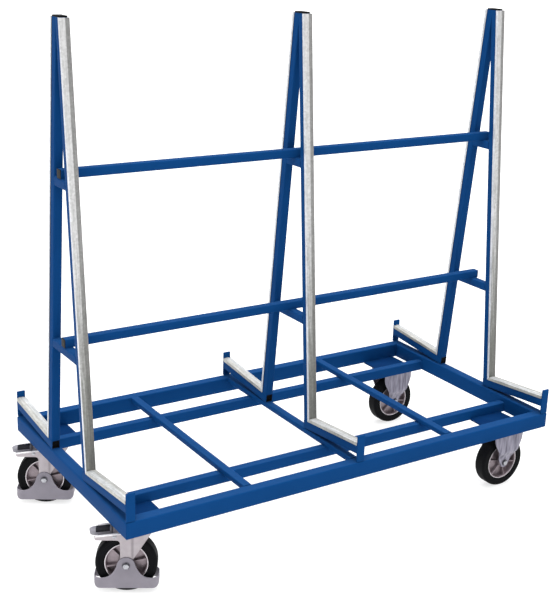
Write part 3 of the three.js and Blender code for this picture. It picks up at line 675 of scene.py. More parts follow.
# Powder coat on the corner plates: the same blue painted dark, as painted shade deep between the
# tubes
POWDER_COAT_PAINTED_SHADE = mottled_finish(
    "powder_coat_painted_shade", "#06234a", "#072850", 60, (0.5, 0.6), 3.5, 0.05, gloss=0.015
)
# Galvanised steel sheet on the legs: pale streaky zinc, painted shade on one side of the fold,
# darker low down
GALVANISED_LEG = galvanised_finish(
    "galvanised_leg_sheet", ("#6d6e69", "#646460"), ("#c2c2c2", "#868685"), "#c4c7cc", (0.82, 1.12)
)
# Galvanised steel sheet on the rests: the same zinc, alike low and high, with only faint painted
# shade beside the fold
GALVANISED_REST = galvanised_finish(
    "galvanised_rest_sheet", ("#b3b5b6", "#a4a4a1"), ("#b3b5b6", "#a4a4a1"), "#a2a29c", (0.66, 1.2)
)
# Zinc plated pressed steel: soft silver with a slight warm cast
ZINC_PLATE = mottled_finish(
    "zinc_plated_sheet", "#9f989c", "#b3abaf", 35, (0.36, 0.46), 4, 0.03, metallic=0.6
)
# The same sheet on the swivel forks, with painted shade along the fold
FOLDED_ZINC = mottled_finish(
    "folded_zinc_plated_sheet", "#979094", "#aaa3a7", 35, (0.36, 0.46), 4, 0.03, metallic=0.6
)
shade_folds(FOLDED_ZINC, "#6f696d")
# Zinc plated edges painted pale and bright: a painted highlight along the tops of the arms
ZINC_PAINTED_HIGHLIGHT = mottled_finish(
    "zinc_edges_painted_highlight", "#d2d0d2", "#e0dee0", 12, (0.3, 0.4), 3, 0.03, metallic=0.2
)
# Zinc plated sheet of the fixed forks: bluish, with upright light and dark streaks
STREAKED_ZINC = mottled_finish(
    "streaked_zinc_plated_sheet", "#5a5867", "#9f9caa", 11, (0.34, 0.46), 4, 0.03, metallic=0.6,
    squeeze=(1, 1, 0.12),
)
# Bright zinc plated bolts: smoother and cooler than the pressed sheet
BRIGHT_ZINC = mottled_finish(
    "bright_zinc_bolts", "#94959a", "#a9aaaf", 9, (0.2, 0.3), 2, 0.02, metallic=1.0
)
# Zinc plated washers painted dark: painted shade round the bolts' hexagons
ZINC_PAINTED_SHADE = mottled_finish(
    "zinc_washers_painted_shade", "#55545a", "#66656b", 9, (0.35, 0.45), 2, 0.02, metallic=0.8
)
# Enamel on the pressed steel guard: even grey with a silky gloss
GREY_ENAMEL = mottled_finish(
    "grey_enamel", "#807c85", "#89858e", 60, (0.4, 0.48), 3, 0.04, gloss=0.15
)
# Die-cast aluminium: skin of the mould, mauve grey and slightly cloudy, with soft reflections
CAST_ALUMINIUM = mottled_finish(
    "die_cast_aluminium", "#7c7176", "#94898e", 18, (0.34, 0.46), 2.2, 0.08, metallic=0.7
)
# Machined aluminium at the rim's edges: a bright clean cut
MACHINED_EDGE = mottled_finish(
    "machined_aluminium", "#c2bdc1", "#d0cbcf", 12, (0.25, 0.35), 2, 0.02, metallic=0.5
)
# Solid rubber, moulded: near black with a dull sheen
RUBBER = mottled_finish(
    "moulded_rubber", "#08090b", "#0e0f12", 30, (0.5, 0.62), 2.5, 0.06, gloss=0.06
)
# Polyethylene caps and plugs: black with a soft moulded grain
BLACK_PLASTIC = mottled_finish(
    "black_polyethylene", "#0d0d0e", "#141415", 20, (0.42, 0.52), 1.6, 0.05, gloss=0.05
)
# Polyamide pedal pad: grey with a fine moulded grain
PEDAL_PLASTIC = mottled_finish(
    "grey_polyamide", "#7d7c83", "#8a8990", 25, (0.42, 0.52), 1.6, 0.06, gloss=0.2
)
# Inlay on the pad: a dull rubbery black
PEDAL_INLAY = mottled_finish(
    "dark_inlay", "#1f1f23", "#29292e", 20, (0.55, 0.65), 1.6, 0.06, gloss=0.05
)


# Pieces

def piece(name, surfaces, material, body, stands_for=()):
    """One object made of surfaces, its poles closed and its faces turned outwards."""
    points, faces, count = [], [], 0
    for surface_points, surface_faces in surfaces:
        points.append(surface_points)
        faces.extend([[number + count for number in face] for face in surface_faces])
        count += len(surface_points)
    mesh = bpy.data.meshes.new(name)
    mesh.from_pydata((np.concatenate(points) * MM).tolist(), [], faces)
    shaped = bmesh.new()
    shaped.from_mesh(mesh)
    bmesh.ops.remove_doubles(shaped, verts=shaped.verts, dist=MERGE_DISTANCE)
    bmesh.ops.recalc_face_normals(shaped, faces=shaped.faces)
    shaped.to_mesh(mesh)
    shaped.free()
    mesh.shade_smooth()
    mesh.set_sharp_from_angle(angle=math.radians(SMOOTH_BELOW))
    mesh.materials.append(material)
    made = bpy.data.objects.new(name, mesh)
    bpy.context.scene.collection.objects.link(made)
    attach(made, body)
    if stands_for:
        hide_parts(*stands_for)
    return made


def mark(made, name, origin, direction):
    """Gives each point of a piece, as an attribute, its place along a direction from an origin."""
    mesh = made.data
    points = np.empty(3 * len(mesh.vertices))
    mesh.vertices.foreach_get("co", points)
    places = (points.reshape(-1, 3) / MM - origin) @ direction
    mesh.attributes.new(name, "FLOAT", "POINT").data.foreach_set("value", places)


def blue(name, surfaces, stands_for=(), coat=POWDER_COAT):
    """A powder coated piece of the welded frame."""
    return piece(name, surfaces, coat, "cart", stands_for)


def zinc(name, surfaces, finish, body, stands_for=()):
    """A zinc plated piece of a caster."""
    return piece(name, surfaces, finish, body, stands_for)


def build_frame_ring():
    """The four mitred tubes: each runs along one side, its ends cut at 45 degrees."""
    half_width = FRAME_TUBE_WIDTH / 2
    level = (FRAME_TOP + FRAME_BOTTOM) / 2
    runs = {
        "front_side": ((LEFT, FRONT), (RIGHT, FRONT), X, Y),
        "right_end": ((RIGHT, FRONT), (RIGHT, BACK), Y, -X),
        "back_side": ((RIGHT, BACK), (LEFT, BACK), -X, -Y),
        "left_end": ((LEFT, BACK), (LEFT, FRONT), -Y, X),
    }
    for name, (start, end, along, inwards) in runs.items():
        length = math.dist(start, end) - FRAME_TUBE_WIDTH - SEAM
        origin = np.array([*start, level]) + inwards * half_width + along * (half_width + SEAM / 2)
        tube = hollow_bar(
            length, FRAME_TUBE_WIDTH, FRAME_TUBE_HEIGHT, FRAME_TUBE_RADIUS, FRAME_TUBE_WALL,
            start_slope=(1, 0), end_slope=(-1, 0),
        )
        blue(f"{name}_tube", [moved(tube, origin, inwards, Z, along)], [f"{name}_member"])


def build_stops():
    """Flat stops on the side tubes: upright plates with rounded corners."""
    height = STOP_TOP - FRAME_TOP - SEAM
    stop = plate(rounded_rectangle(LIGHT_TUBE, height, STOP_CORNER), STOP_THICKNESS, PLATE_EASE)
    level = FRAME_TOP + SEAM + height / 2
    for name, side in SIDES.items():
        face = (BACK if side > 0 else -FRONT) - STOP_THICKNESS / 2
        blue(f"{name}_stops", [
            moved(stop, (x, side * face, level), X, Z, -Y) for x in A_FRAMES.values()
        ])


def build_floor_bars():
    """Stringers with their corner plates, and the cross bars that lie on them."""
    height = STRINGER_TOP - FRAME_BOTTOM
    start = LEFT + FRAME_TUBE_WIDTH + SEAM
    tube = light_tube(RIGHT - LEFT - 2 * (FRAME_TUBE_WIDTH + SEAM), height=height)
    outer = STRINGER_SPACING / 2 + LIGHT_TUBE / 2
    inner_face = BACK - FRAME_TUBE_WIDTH - SEAM
    swivel_x = joint_place("front_swivel_turn")[0]
    fixed_x = joint_place("front_right_wheel_spin")[0] - FIXED_CORNER_SHIFT
    for name, side in SIDES.items():
        origin = (start, side * STRINGER_SPACING / 2, FRAME_BOTTOM + height / 2)
        blue(f"{name}_stringer_tube", [moved(tube, origin, Y, Z, X)], [f"{name}_stringer"])
        plates = []
        for x, width in ((swivel_x, SWIVEL_CORNER_PLATE), (fixed_x, FIXED_CORNER_PLATE)):
            outline = rounded_rectangle(width, inner_face - outer, CORNER_PLATE_RADIUS)
            flat = plate(outline, CORNER_PLATE_THICKNESS, CORNER_PLATE_EASE)
            level = FRAME_BOTTOM + CORNER_PLATE_THICKNESS / 2
            plates.append(moved(flat, (x, side * (inner_face + outer) / 2, level)))
        # The corner plates take the darker coat: painted shade between the tubes
        blue(f"{name}_corner_plates", plates, coat=POWDER_COAT_PAINTED_SHADE)
    for place in A_FRAMES:
        low, high = corners(f"{place}_cross_bar")
        width, length, height = high - low
        origin = ((low[0] + high[0]) / 2, low[1], (low[2] + high[2]) / 2)
        bar = moved(light_tube(length, height, width), origin, Z, X, Y)
        blue(f"{place}_cross_tube", [bar], [f"{place}_cross_bar"])


def cover_section():
    """Outline of the galvanised U: up a flange, round a bend, over a face that falls away to both
    sides of a lengthwise fold, down the other flange, then back inside by the sheet's thickness."""
    half = COVER_WIDTH / 2
    bend_x, bend_y = half - COVER_BEND, COVER_STANDOFF - COVER_FALL - COVER_BEND
    left = arc((-bend_x, bend_y), COVER_BEND, 180, 90 + COVER_SLANT, CORNER_STEPS + 1)
    right = arc((bend_x, bend_y), COVER_BEND, 90 - COVER_SLANT, 0, CORNER_STEPS + 1)
    crest = COVER_STANDOFF - COVER_FOLD_SINK
    fold = [(COVER_FOLD - COVER_FOLD_HALF, crest), (COVER_FOLD + COVER_FOLD_HALF, crest)]
    outer = np.concatenate([[(-half, -COVER_LAP)], left, fold, right, [(half, -COVER_LAP)]])
    along = unit_rows(np.gradient(outer, axis=0))
    inner = outer + COVER_SHEET * np.stack([along[:, 1], -along[:, 0]], -1)
    inner[[0, -1], 1] = -COVER_LAP
    return np.concatenate([outer, inner[::-1]])[::-1]


def tube_plug(width, height):
    """Plastic insert in a tube's end at z = 0: a rounded cup whose floor stands below its rim, with
    a raised rib across."""
    inside = width - PLUG_LAP
    floor = plate(rounded_rectangle(inside, height - PLUG_LAP, PLUG_CORNER), PLUG_FLOOR, PLUG_EASE)
    rib_outline = rounded_rectangle(inside, PLUG_RIB_WIDTH, PLUG_RIB_CORNER)
    return [
        hollow_bar(PLUG_DEPTH, width, height, PLUG_CORNER, PLUG_WALL),
        moved(floor, PLUG_FLOOR_LEVEL * Z),
        moved(plate(rib_outline, PLUG_RIB_HEIGHT, PLUG_EASE), PLUG_RIB_LEVEL * Z),
    ]


def flanged_plug(size, wall):
    """Plastic insert in a square tube's end at z = 0: a flat head as wide as the tube with eased
    edges, and a hollow stem inside."""
    bore = size - 2 * wall - SEAM
    head = plate(rounded_rectangle(size, size, LIGHT_TUBE_RADIUS), PLUG_HEAD, PLUG_HEAD_EASE)
    stem = hollow_bar(PLUG_DEPTH, bore, bore, PLUG_CORNER, PLUG_WALL)
    return [moved(head, -PLUG_HEAD / 2 * Z), stem]


def leg_frame(x, side):
    """Heel of a leg, with the directions outwards along its rest and upwards along the leg."""
    heel = np.array([x, side * HEEL_Y, HEEL_Z])
    return heel, np.array([0, side * COSINE, SINE]), np.array([0, -side * SINE, COSINE])


def build_a_frame(place, x):
    """Two leaning legs with their rests, the galvanised profiles, spreaders, cap and plugs."""
    bore = 2 * LIGHT_TUBE_WALL + SEAM
    section = cover_section()
    plugs = []
    for name, side in SIDES.items():
        heel, out, up = leg_frame(x, side)
        prefix = f"{place}_{name}"

        foot = heel + out * LEG_DEPTH / 2 + up * (REST_HEIGHT + SEAM)
        butt = heel + up * REST_HEIGHT / 2
        bend = heel + out * LEG_DEPTH + up * REST_HEIGHT
        along_leg, along_rest = (side * X, out, up), (-side * X, up, out)
        for part, start, depth, limit, towards, slope, turn, finish in (
            ("leg", foot, LEG_DEPTH, TUBE_TOP, Z, -SLOPE, along_leg, GALVANISED_LEG),
            ("rest", butt, REST_HEIGHT, STOP_FACE, side * Y, SLOPE, along_rest, GALVANISED_REST),
        ):
            length, covered = ((limit - point @ towards) / COSINE for point in (start, bend))
            tube = light_tube(length, height=depth, end_slope=(0, slope))
            blue(f"{prefix}_{part}_tube", [moved(tube, start, *turn)], [f"{prefix}_{part}"])
            cover = skin([ring(section, SEAM, (0, 1)), ring(section, covered, (0, slope))])
            profile = piece(
                f"{prefix}_{part}_profile", [moved(cover, bend, *turn)], finish, "cart",
                [f"{prefix}_{part}_cover"],
            )
            # The place across the sheet sets the band of painted shade on one side of the fold
            mark(profile, "across", heel, -side * X / (COVER_WIDTH / 2))
        plugs += placed(tube_plug(LIGHT_TUBE - bore, REST_HEIGHT - bore), butt, *along_rest)
    piece(f"{place}_rest_plugs", plugs, BLACK_PLASTIC, "cart")

    for level in LEVELS:
        spreader = f"{place}_{level}_spreader"
        low, high = corners(spreader)
        half = high[1] - LIGHT_TUBE / 2 * SLOPE - LEG_INSET / COSINE
        tube = light_tube(2 * half, start_slope=(0, SLOPE), end_slope=(0, -SLOPE))
        origin = (x, -half, (low[2] + high[2]) / 2)
        blue(f"{spreader}_tube", [moved(tube, origin, -X, Z, Y)], [spreader])

    reach = HEEL_Y - (TUBE_TOP - HEEL_Z) * SLOPE + LEG_DEPTH / COSINE
    cap = plate(rounded_rectangle(LIGHT_TUBE, 2 * reach, CAP_CORNER), CAP_THICKNESS, CAP_EASE)
    cap = moved(cap, (x, 0, TUBE_TOP + CAP_THICKNESS / 2))
    piece(f"{place}_leg_cap", [cap], BLACK_PLASTIC, "cart")


def build_rails():
    """Rails that lie on the spreaders from end to end, with a plug in each end."""
    plugs = []
    for level in LEVELS:
        low, high = corners(f"{level}_rail")
        start, end = ((x, 0, (low[2] + high[2]) / 2) for x in (low[0], high[0]))
        rail = moved(light_tube(high[0] - low[0]), start, Y, Z, X)
        blue(f"{level}_rail_tube", [rail], [f"{level}_rail"])
        plug = flanged_plug(LIGHT_TUBE, LIGHT_TUBE_WALL)
        plugs += placed(plug, start, Y, Z, X) + placed(plug, end, -Y, Z, -X)
    piece("rail_plugs", plugs, BLACK_PLASTIC, "cart")


def build_welds():
    """Weld beads where the tubes and plates of the frame meet."""
    half = LIGHT_TUBE / 2
    inner_face = BACK - FRAME_TUBE_WIDTH
    rest_end = HEEL_Z + (STOP_FACE - HEEL_Y) * SLOPE
    beads = []

    def along_x(x, y, z, reach):
        beads.append(weld_bead((x - reach, y, z), (x + reach, y, z)))

    def upright(x, y, low, high):
        beads.append(weld_bead((x, y, low + WELD_RADIUS), (x, y, high - WELD_RADIUS)))

    for place, x in A_FRAMES.items():
        bar = corners(f"{place}_cross_bar")
        for side in SIDES.values():
            heel, out, up = leg_frame(x, side)
            stop_y = side * (BACK - STOP_THICKNESS)
            along_x(x, stop_y, FRAME_TOP + WELD_LIFT, WELD_LONG_HALF)
            along_x(x, side * HEEL_Y, HEEL_Z + WELD_LIFT, WELD_SHORT_HALF)
            foot = heel + up * REST_HEIGHT
            for edge in (-WELD_EDGE, WELD_EDGE):
                beads.append(weld_bead(*(foot + out * reach + edge * X for reach in LEG_WELD)))
                upright(x + edge, side * STOP_FACE, rest_end, rest_end + REST_HEIGHT / COSINE)
                upright(x + edge, side * inner_face, bar[0][2], bar[1][2])
            for level in LEVELS:
                low, high = corners(f"{place}_{level}_spreader")
                end = high[1] - LEG_INSET / COSINE
                along_x(x, side * end, low[2], WELD_SHORT_HALF)
                along_x(x, side * (end - LIGHT_TUBE * SLOPE), high[2], WELD_SHORT_HALF)
                along_x(x, side * half, corners(f"{level}_rail")[0][2], WELD_LONG_HALF)
    for side in SIDES.values():
        for edge in (-half, half):
            y = side * STRINGER_SPACING / 2 + edge
            for x in (LEFT + FRAME_TUBE_WIDTH, RIGHT - FRAME_TUBE_WIDTH):
                upright(x, y, FRAME_BOTTOM, STRINGER_TOP)
    blue("frame_welds", beads)


# Wheels, with the axle along their own z

def tyre_surface():
    """Solid tyre: a closed section of seat, leaning sidewalls with a shallow band let into them,
    rounded shoulders and a slightly crowned tread, spun about the axle."""
    shoulder = arc(TYRE_SHOULDER_CENTRE, TYRE_SHOULDER, TYRE_SHOULDER_START, 90, BEND_STEPS)
    half = np.concatenate([TYRE_TREAD, shoulder, TYRE_SIDE])
    return turned(both_halves(half), WHEEL_STEPS, closed=True)


def rim_surfaces():
    """Cast rim: a barrel with rolled lips and a hub, joined by a web that dishes towards the hub,
    with ribs on both sides that taper towards their edges and widen into hub and barrel."""
    radius = np.linspace(HUB_RADIUS - WEB_LAP, RIM_INNER + WEB_LAP, WEB_STEPS)
    dish = WEB_HALF + WEB_DISH * (1 - smooth_step(radius, HUB_RADIUS, RIM_INNER))
    surfaces = [
        turned(both_halves(RIM_BARREL), WHEEL_STEPS, closed=True),
        turned(both_halves(RIM_HUB), closed=True),
        turned(both_halves(np.column_stack([radius, dish])), WHEEL_STEPS, closed=True),
    ]
    share = np.linspace(0, 1, RIB_STEPS)[:, None]
    reach = HUB_RADIUS - RIB_LAP + share * (RIM_INNER + WEB_LAP + RIB_LAP - HUB_RADIUS)
    outline = rounded_rectangle(1, 1, RIB_CORNER, CORNER_STEPS - 1)
    thickness = RIB_THICKNESS * (1 + RIB_SWELL * (2 * share - 1) ** 4)
    across = thickness * (1 - RIB_TAPER * np.abs(2 * outline[:, 1])) * outline[:, 0]
    deep = (RIB_DEPTH - RIB_SCOOP * share * (1 - share)) * outline[:, 1]
    rib = skin(np.stack([np.broadcast_to(reach, across.shape), across, deep], -1))
    for number in range(RIBS):
        turn = math.radians(RIB_PHASE + number * 360 / RIBS)
        outwards = np.array([math.cos(turn), math.sin(turn), 0])
        surfaces.append(moved(rib, (0, 0, 0), outwards, np.cross(Z, outwards), Z))
    return surfaces


def axle_bolt_surfaces(seat, *where):
    """Axle through the wheel with a hexagon at both ends, one of them a nut with the thread's end
    standing out; and the washers below the hexagons."""
    shank = turned([(AXLE_RADIUS, -seat), (AXLE_RADIUS, seat)], SMALL_ROUND_STEPS)
    heads = both_sides(moved(turned(AXLE_HEAD, HEXAGON), (seat + AXLE_WASHER_THICKNESS) * Z))
    bolt = [shank, moved(turned(THREAD_END, THREAD_STEPS), seat * Z), *heads]
    washers = both_sides(moved(turned(AXLE_WASHER, SMALL_ROUND_STEPS), seat * Z))
    return placed(bolt, *where), placed(washers, *where)


def build_wheel(prefix, axle, axis):
    """Tyre, rim with the machined edges let into its lips, and ball bearings in the hub's ends,
    each with races and a shield set back, about an axle."""
    turn = (np.cross(axis, Z), Z, -axis)
    edges = both_sides(turned(RIM_EDGE, WHEEL_STEPS, closed=True))
    bearings = both_sides(turned(BEARING, closed=True))
    for name, surfaces, finish, slot, stands_for in (
        ("tyre_ring", [tyre_surface()], RUBBER, "rubber_tyre", [f"{prefix}_tyre"]),
        ("rim_casting", rim_surfaces(), CAST_ALUMINIUM, "cast_aluminium", [f"{prefix}_rim"]),
        ("rim_edges", edges, MACHINED_EDGE, "cast_aluminium", ()),
        ("bearings", bearings, BRIGHT_ZINC, "zinc_plated_steel", ()),
    ):
        surfaces = placed(surfaces, axle, *turn)
        piece(f"{prefix}_{name}", surfaces, finish, f"{prefix}_wheel", stands_for)


# Casters: x along the caster's heading, y to its side, z up

def sheet_leg(levels, front, rear, offset, across):
    """Fork leg about y = 0: at each level the sheet runs from its front to its rear edge, shifted
    sideways by an offset of x and level, and thins to a half round at both edges."""
    share = (1 - np.cos(np.linspace(0, math.pi, across))) / 2
    x = front[:, None] + (rear - front)[:, None] * share
    from_edge = np.minimum(x - front[:, None], rear[:, None] - x)
    rounding = np.clip(1 - from_edge / (FORK_SHEET / 2), 0, 1)
    half = FORK_SHEET / 2 * np.sqrt(np.maximum(1 - rounding ** 2, EDGE_THINNEST))
    level = np.broadcast_to(levels[:, None], x.shape)
    shift = offset(x, level)
    near = np.stack([x, shift + half, level], -1)
    far = np.stack([x, shift - half, level], -1)[:, ::-1]
    return skin(np.concatenate([near, far], 1))


def crease(x, place):
    """A shallow groove along an upright crease: a bell curve of x about its place."""
    return CREASE_DEPTH * np.exp(-((x - place) / CREASE_WIDTH) ** 2)


def caster_plate(middle, size):
    """Top plate with rounded corners."""
    outline = rounded_rectangle(*size, PLATE_CORNER, BEND_STEPS)
    flat = plate(outline, PLATE_THICKNESS, PLATE_EASE)
    return moved(flat, (*middle, PLATE_BOTTOM + PLATE_THICKNESS / 2))


def build_mount_bolts(prefix, middle, size):
    """Heads of the four bolts that hold a caster's plate, below its corners."""
    head = turned(MOUNT_HEAD, HEXAGON)
    flat = turned(MOUNT_WASHER, SMALL_ROUND_STEPS)
    across, along = (span / 2 - BOLT_EDGE for span in size)
    surfaces = []
    for x in (-across, across):
        for y in (-along, along):
            spot = np.array([middle[0] + x, middle[1] + y, PLATE_BOTTOM])
            surfaces.append(moved(flat, spot, X, -Y, -Z))
            surfaces.append(moved(head, spot - MOUNT_WASHER_THICKNESS * Z, X, -Y, -Z))
    zinc(f"{prefix}_mount_bolts", surfaces, BRIGHT_ZINC, "cart")


def fixed_leg():
    """Leg of a fixed fork: as long as the plate down to a shoulder, then tapering to an eye; it
    drops from the plate's edge, bends in towards the hub, and has wings folded in along two
    upright creases."""
    half_top = FIXED_PLATE[0] / 2
    rise = FIXED_SHOULDER - WHEEL_RADIUS
    tangent = math.acos(FORK_EYE / math.hypot(half_top, rise)) - math.atan2(rise, half_top)
    eye = arc((0, WHEEL_RADIUS), FORK_EYE, EYE_START, -math.degrees(tangent), EYE_STEPS)
    corner = (half_top, FIXED_SHOULDER)
    share = np.linspace(0, FIXED_SLANT_SHARE, FIXED_SLANT_STEPS)[1:, None]
    slant = eye[-1] + share * (corner - eye[-1])
    bend = curve(slant[-1], corner, (half_top, FIXED_SHOULDER + FIXED_TURN_RISE), BEND_STEPS)[1:]
    side = [(half_top, FIXED_SHOULDER + FIXED_SIDE_RISE), (half_top, PLATE_BOTTOM + PLATE_SINK)]
    half, levels = np.concatenate([eye, slant, bend, side]).T

    def bent(x, level):
        spread = FIXED_PLATE[1] / 2 - FORK_SHEET / 2 - FORK_MIDDLE
        folded = FIXED_WING_BEND * np.maximum(np.abs(x) - FIXED_CREASE, 0)
        folded = folded + crease(np.abs(x), FIXED_CREASE)
        return spread * smooth_step(level, FIXED_BEND_LOW, FIXED_BEND_HIGH) - folded

    return sheet_leg(levels, -half, half, bent, FIXED_COLUMNS)


def build_fixed_caster(row):
    """Fork with its plate and legs, axle bolt and wheel of a fixed caster."""
    prefix = f"{row}_right"
    axle = joint_place(f"{prefix}_wheel_spin")
    sheets = [caster_plate(axle[:2], FIXED_PLATE)]
    for side in (-1, 1):
        origin = (axle[0], axle[1] + side * FORK_MIDDLE, 0)
        sheets.append(moved(fixed_leg(), origin, X, side * Y, Z))
    zinc(f"{prefix}_fork_sheet", sheets, STREAKED_ZINC, "cart", [f"{prefix}_fork"])
    bolt, washers = axle_bolt_surfaces(FORK_MIDDLE + FORK_SHEET / 2, axle, X, Z, -Y)
    zinc(f"{prefix}_axle_bolt", bolt, BRIGHT_ZINC, "cart")
    # The washers are painted dark: painted shade round the hexagons
    zinc(f"{prefix}_axle_washers", washers, ZINC_PAINTED_SHADE, "cart")
    build_mount_bolts(prefix, axle[:2], FIXED_PLATE)
    build_wheel(prefix, axle, -Y)


def guard_surface():
    """Guard about the axle at x = 0: an upright sheet carried round a plan of two straight sides
    and rounded ends; its top edge makes a dome over the axle, falls in a hollow flare and runs
    level round the ends."""
    dome = arc((0, WHEEL_RADIUS), GUARD_HUB, 90, GUARD_HUB_ANGLE, GUARD_DOME_STEPS)
    pull = (dome[-1, 0] + GUARD_HUB / 2, GUARD_BASE_TOP)
    flare = curve(dome[-1], pull, (GUARD_FLARE, GUARD_BASE_TOP), GUARD_FLARE_STEPS)[1:]
    half = np.concatenate([dome, flare])
    straight = np.concatenate([half[:0:-1] * (-1, 1), half])

    def plan(inwards):
        half_width, corner = GUARD_HALF_WIDTH - inwards, GUARD_CORNER - inwards
        bend_x, bend_y = GUARD_REACH - inwards - corner, half_width - corner
        sides = np.clip(straight[:, 0], -bend_x, bend_x)
        end = np.concatenate([
            arc((bend_x, -bend_y), corner, -GUARD_TURN, 0, GUARD_END_STEPS),
            arc((bend_x, bend_y), corner, 0, GUARD_TURN, GUARD_END_STEPS),
        ])
        return np.concatenate([
            np.column_stack([sides, np.full(len(sides), -half_width)]),
            end,
            np.column_stack([sides[::-1], np.full(len(sides), half_width)]),
            -end,
        ])

    outer, inner = plan(0), plan(GUARD_SHEET)
    ends = np.full((len(outer) - 2 * len(straight)) // 2, float(GUARD_BASE_TOP))
    top = np.concatenate([straight[:, 1], ends, straight[::-1, 1], ends])
    past_toe = np.clip(np.abs(outer[:, 0]) - GUARD_REACH + GUARD_TOE, 0, GUARD_TOE)
    bottom = GUARD_BOTTOM + GUARD_TOE - np.sqrt(GUARD_TOE ** 2 - past_toe ** 2)
    ease = GUARD_EASE_SHARE * (inner - outer) / 2
    return skin([np.column_stack([outline, level]) for outline, level in (
        (outer + ease, bottom),
        (outer, bottom + GUARD_EASE),
        (outer, top - GUARD_EASE),
        (outer + ease, top),
        (inner - ease, top),
        (inner, top - GUARD_EASE),
        (inner, bottom + GUARD_EASE),
        (inner - ease, bottom),
    )], closed=True)


def swivel_fork_surfaces(trail, pin_level):
    """Crown with two legs: each leg is a sheet with a slanting front wing folded inwards along an
    upright crease and a straight rear edge, with an arm that reaches back beside the pedal."""
    top = CROWN_BOTTOM + CROWN_THICKNESS - CROWN_SINK
    rear = trail + FORK_EYE
    hub = (trail, WHEEL_RADIUS)
    eye_x, eye_z = arc(hub, FORK_EYE, EYE_START, 0, EYE_STEPS).T
    low_front = arc(hub, FORK_EYE, 180 - EYE_START, FORK_FRONT_ANGLE, EYE_STEPS)
    share = np.linspace(0, 1, SLANT_STEPS)[1:, None]
    slant = low_front[-1] + share * ((-CROWN_FRONT, top) - low_front[-1])
    front, levels = np.concatenate([low_front, slant]).T
    rear_edge = np.where(levels < WHEEL_RADIUS, np.interp(levels, eye_z, eye_x), rear)

    def folded(x, level):
        return -FORK_BEND * np.maximum(FORK_CREASE - x, 0) - crease(x, FORK_CREASE)

    leg = sheet_leg(levels, front, rear_edge, folded, FORK_COLUMNS)
    under, over = pin_level - ARM_UNDERSIDE_DROP, pin_level - ARM_TOP_DROP
    low = under - ARM_FILLET
    tip = rear + ARM_LENGTH
    tip_bend = (tip - ARM_TIP_RADIUS, under + ARM_TIP_RADIUS)
    arm = plate(np.concatenate([
        [(rear - ARM_ROOT, over), (rear - ARM_ROOT, low)],
        curve(
            (rear - ARM_OVERLAP, low), (rear, under), (rear + ARM_FILLET, under), ARM_FILLET_STEPS
        ),
        arc(tip_bend, ARM_TIP_RADIUS, -90, 0, BEND_STEPS),
        [(tip, pin_level - ARM_TIP_DROP), (rear, over)],
    ]), ARM_SHEET, ARM_EASE)
    crown_size = (rear + CROWN_FRONT, 2 * FORK_MIDDLE + FORK_SHEET)
    crown_outline = rounded_rectangle(*crown_size, CROWN_CORNER, BEND_STEPS)
    crown = plate(crown_outline, CROWN_THICKNESS, CROWN_EASE)
    middle = ((rear - CROWN_FRONT) / 2, 0, CROWN_BOTTOM + CROWN_THICKNESS / 2)
    surfaces = [moved(crown, middle)]
    for side in (-1, 1):
        origin = side * FORK_MIDDLE * Y
        surfaces += [moved(leg, origin, X, side * Y, Z), moved(arm, origin, X, Z, -Y)]
    return surfaces


def arm_lip_surfaces(trail, pin_level):
    """Lips rolled out along the tops of the fork's arms: a rounded strip carried along each arm."""
    root = np.array([trail + FORK_EYE, 0, pin_level])
    start, end = root + ARM_LIP_START, root + ARM_LIP_END
    along = unit(end - start)
    outline = rounded_rectangle(ARM_LIP_WIDTH, ARM_LIP_THICKNESS, ARM_LIP_RADIUS)
    lip = skin([ring(outline, 0), ring(outline, math.dist(start, end))])
    return [
        moved(lip, start + side * (FORK_MIDDLE + ARM_LIP_SHIFT) * Y, Y, np.cross(along, Y), along)
        for side in (-1, 1)
    ]


def pedal_surfaces():
    """Pedal about its pin: a lever sheet with a barrel on a saddle."""
    length = PEDAL_LEVER_LENGTH + PEDAL_BARREL_RADIUS
    lever_outline = rounded_rectangle(length, PEDAL_WIDTH, PEDAL_LEVER_CORNER)
    lever = plate(lever_outline, PEDAL_LEVER_SHEET, PLATE_EASE)
    middle = (PEDAL_LEVER_LENGTH - PEDAL_BARREL_RADIUS) / 2
    barrel = turned(PEDAL_BARREL, SMALL_ROUND_STEPS, closed=True)
    saddle_size = (PEDAL_BARREL_RADIUS, SADDLE_TOP - PEDAL_SHOE)
    saddle = plate(rounded_rectangle(*saddle_size, SADDLE_CORNER), SADDLE_WIDTH, SADDLE_EASE)
    return [
        moved(lever, (middle, 0, PEDAL_SHOE + PEDAL_LEVER_SHEET / 2)),
        moved(barrel, (0, 0, 0), X, Z, -Y),
        moved(saddle, (PEDAL_SHOE + SADDLE_TOP) / 2 * Z, X, Z, -Y),
    ]


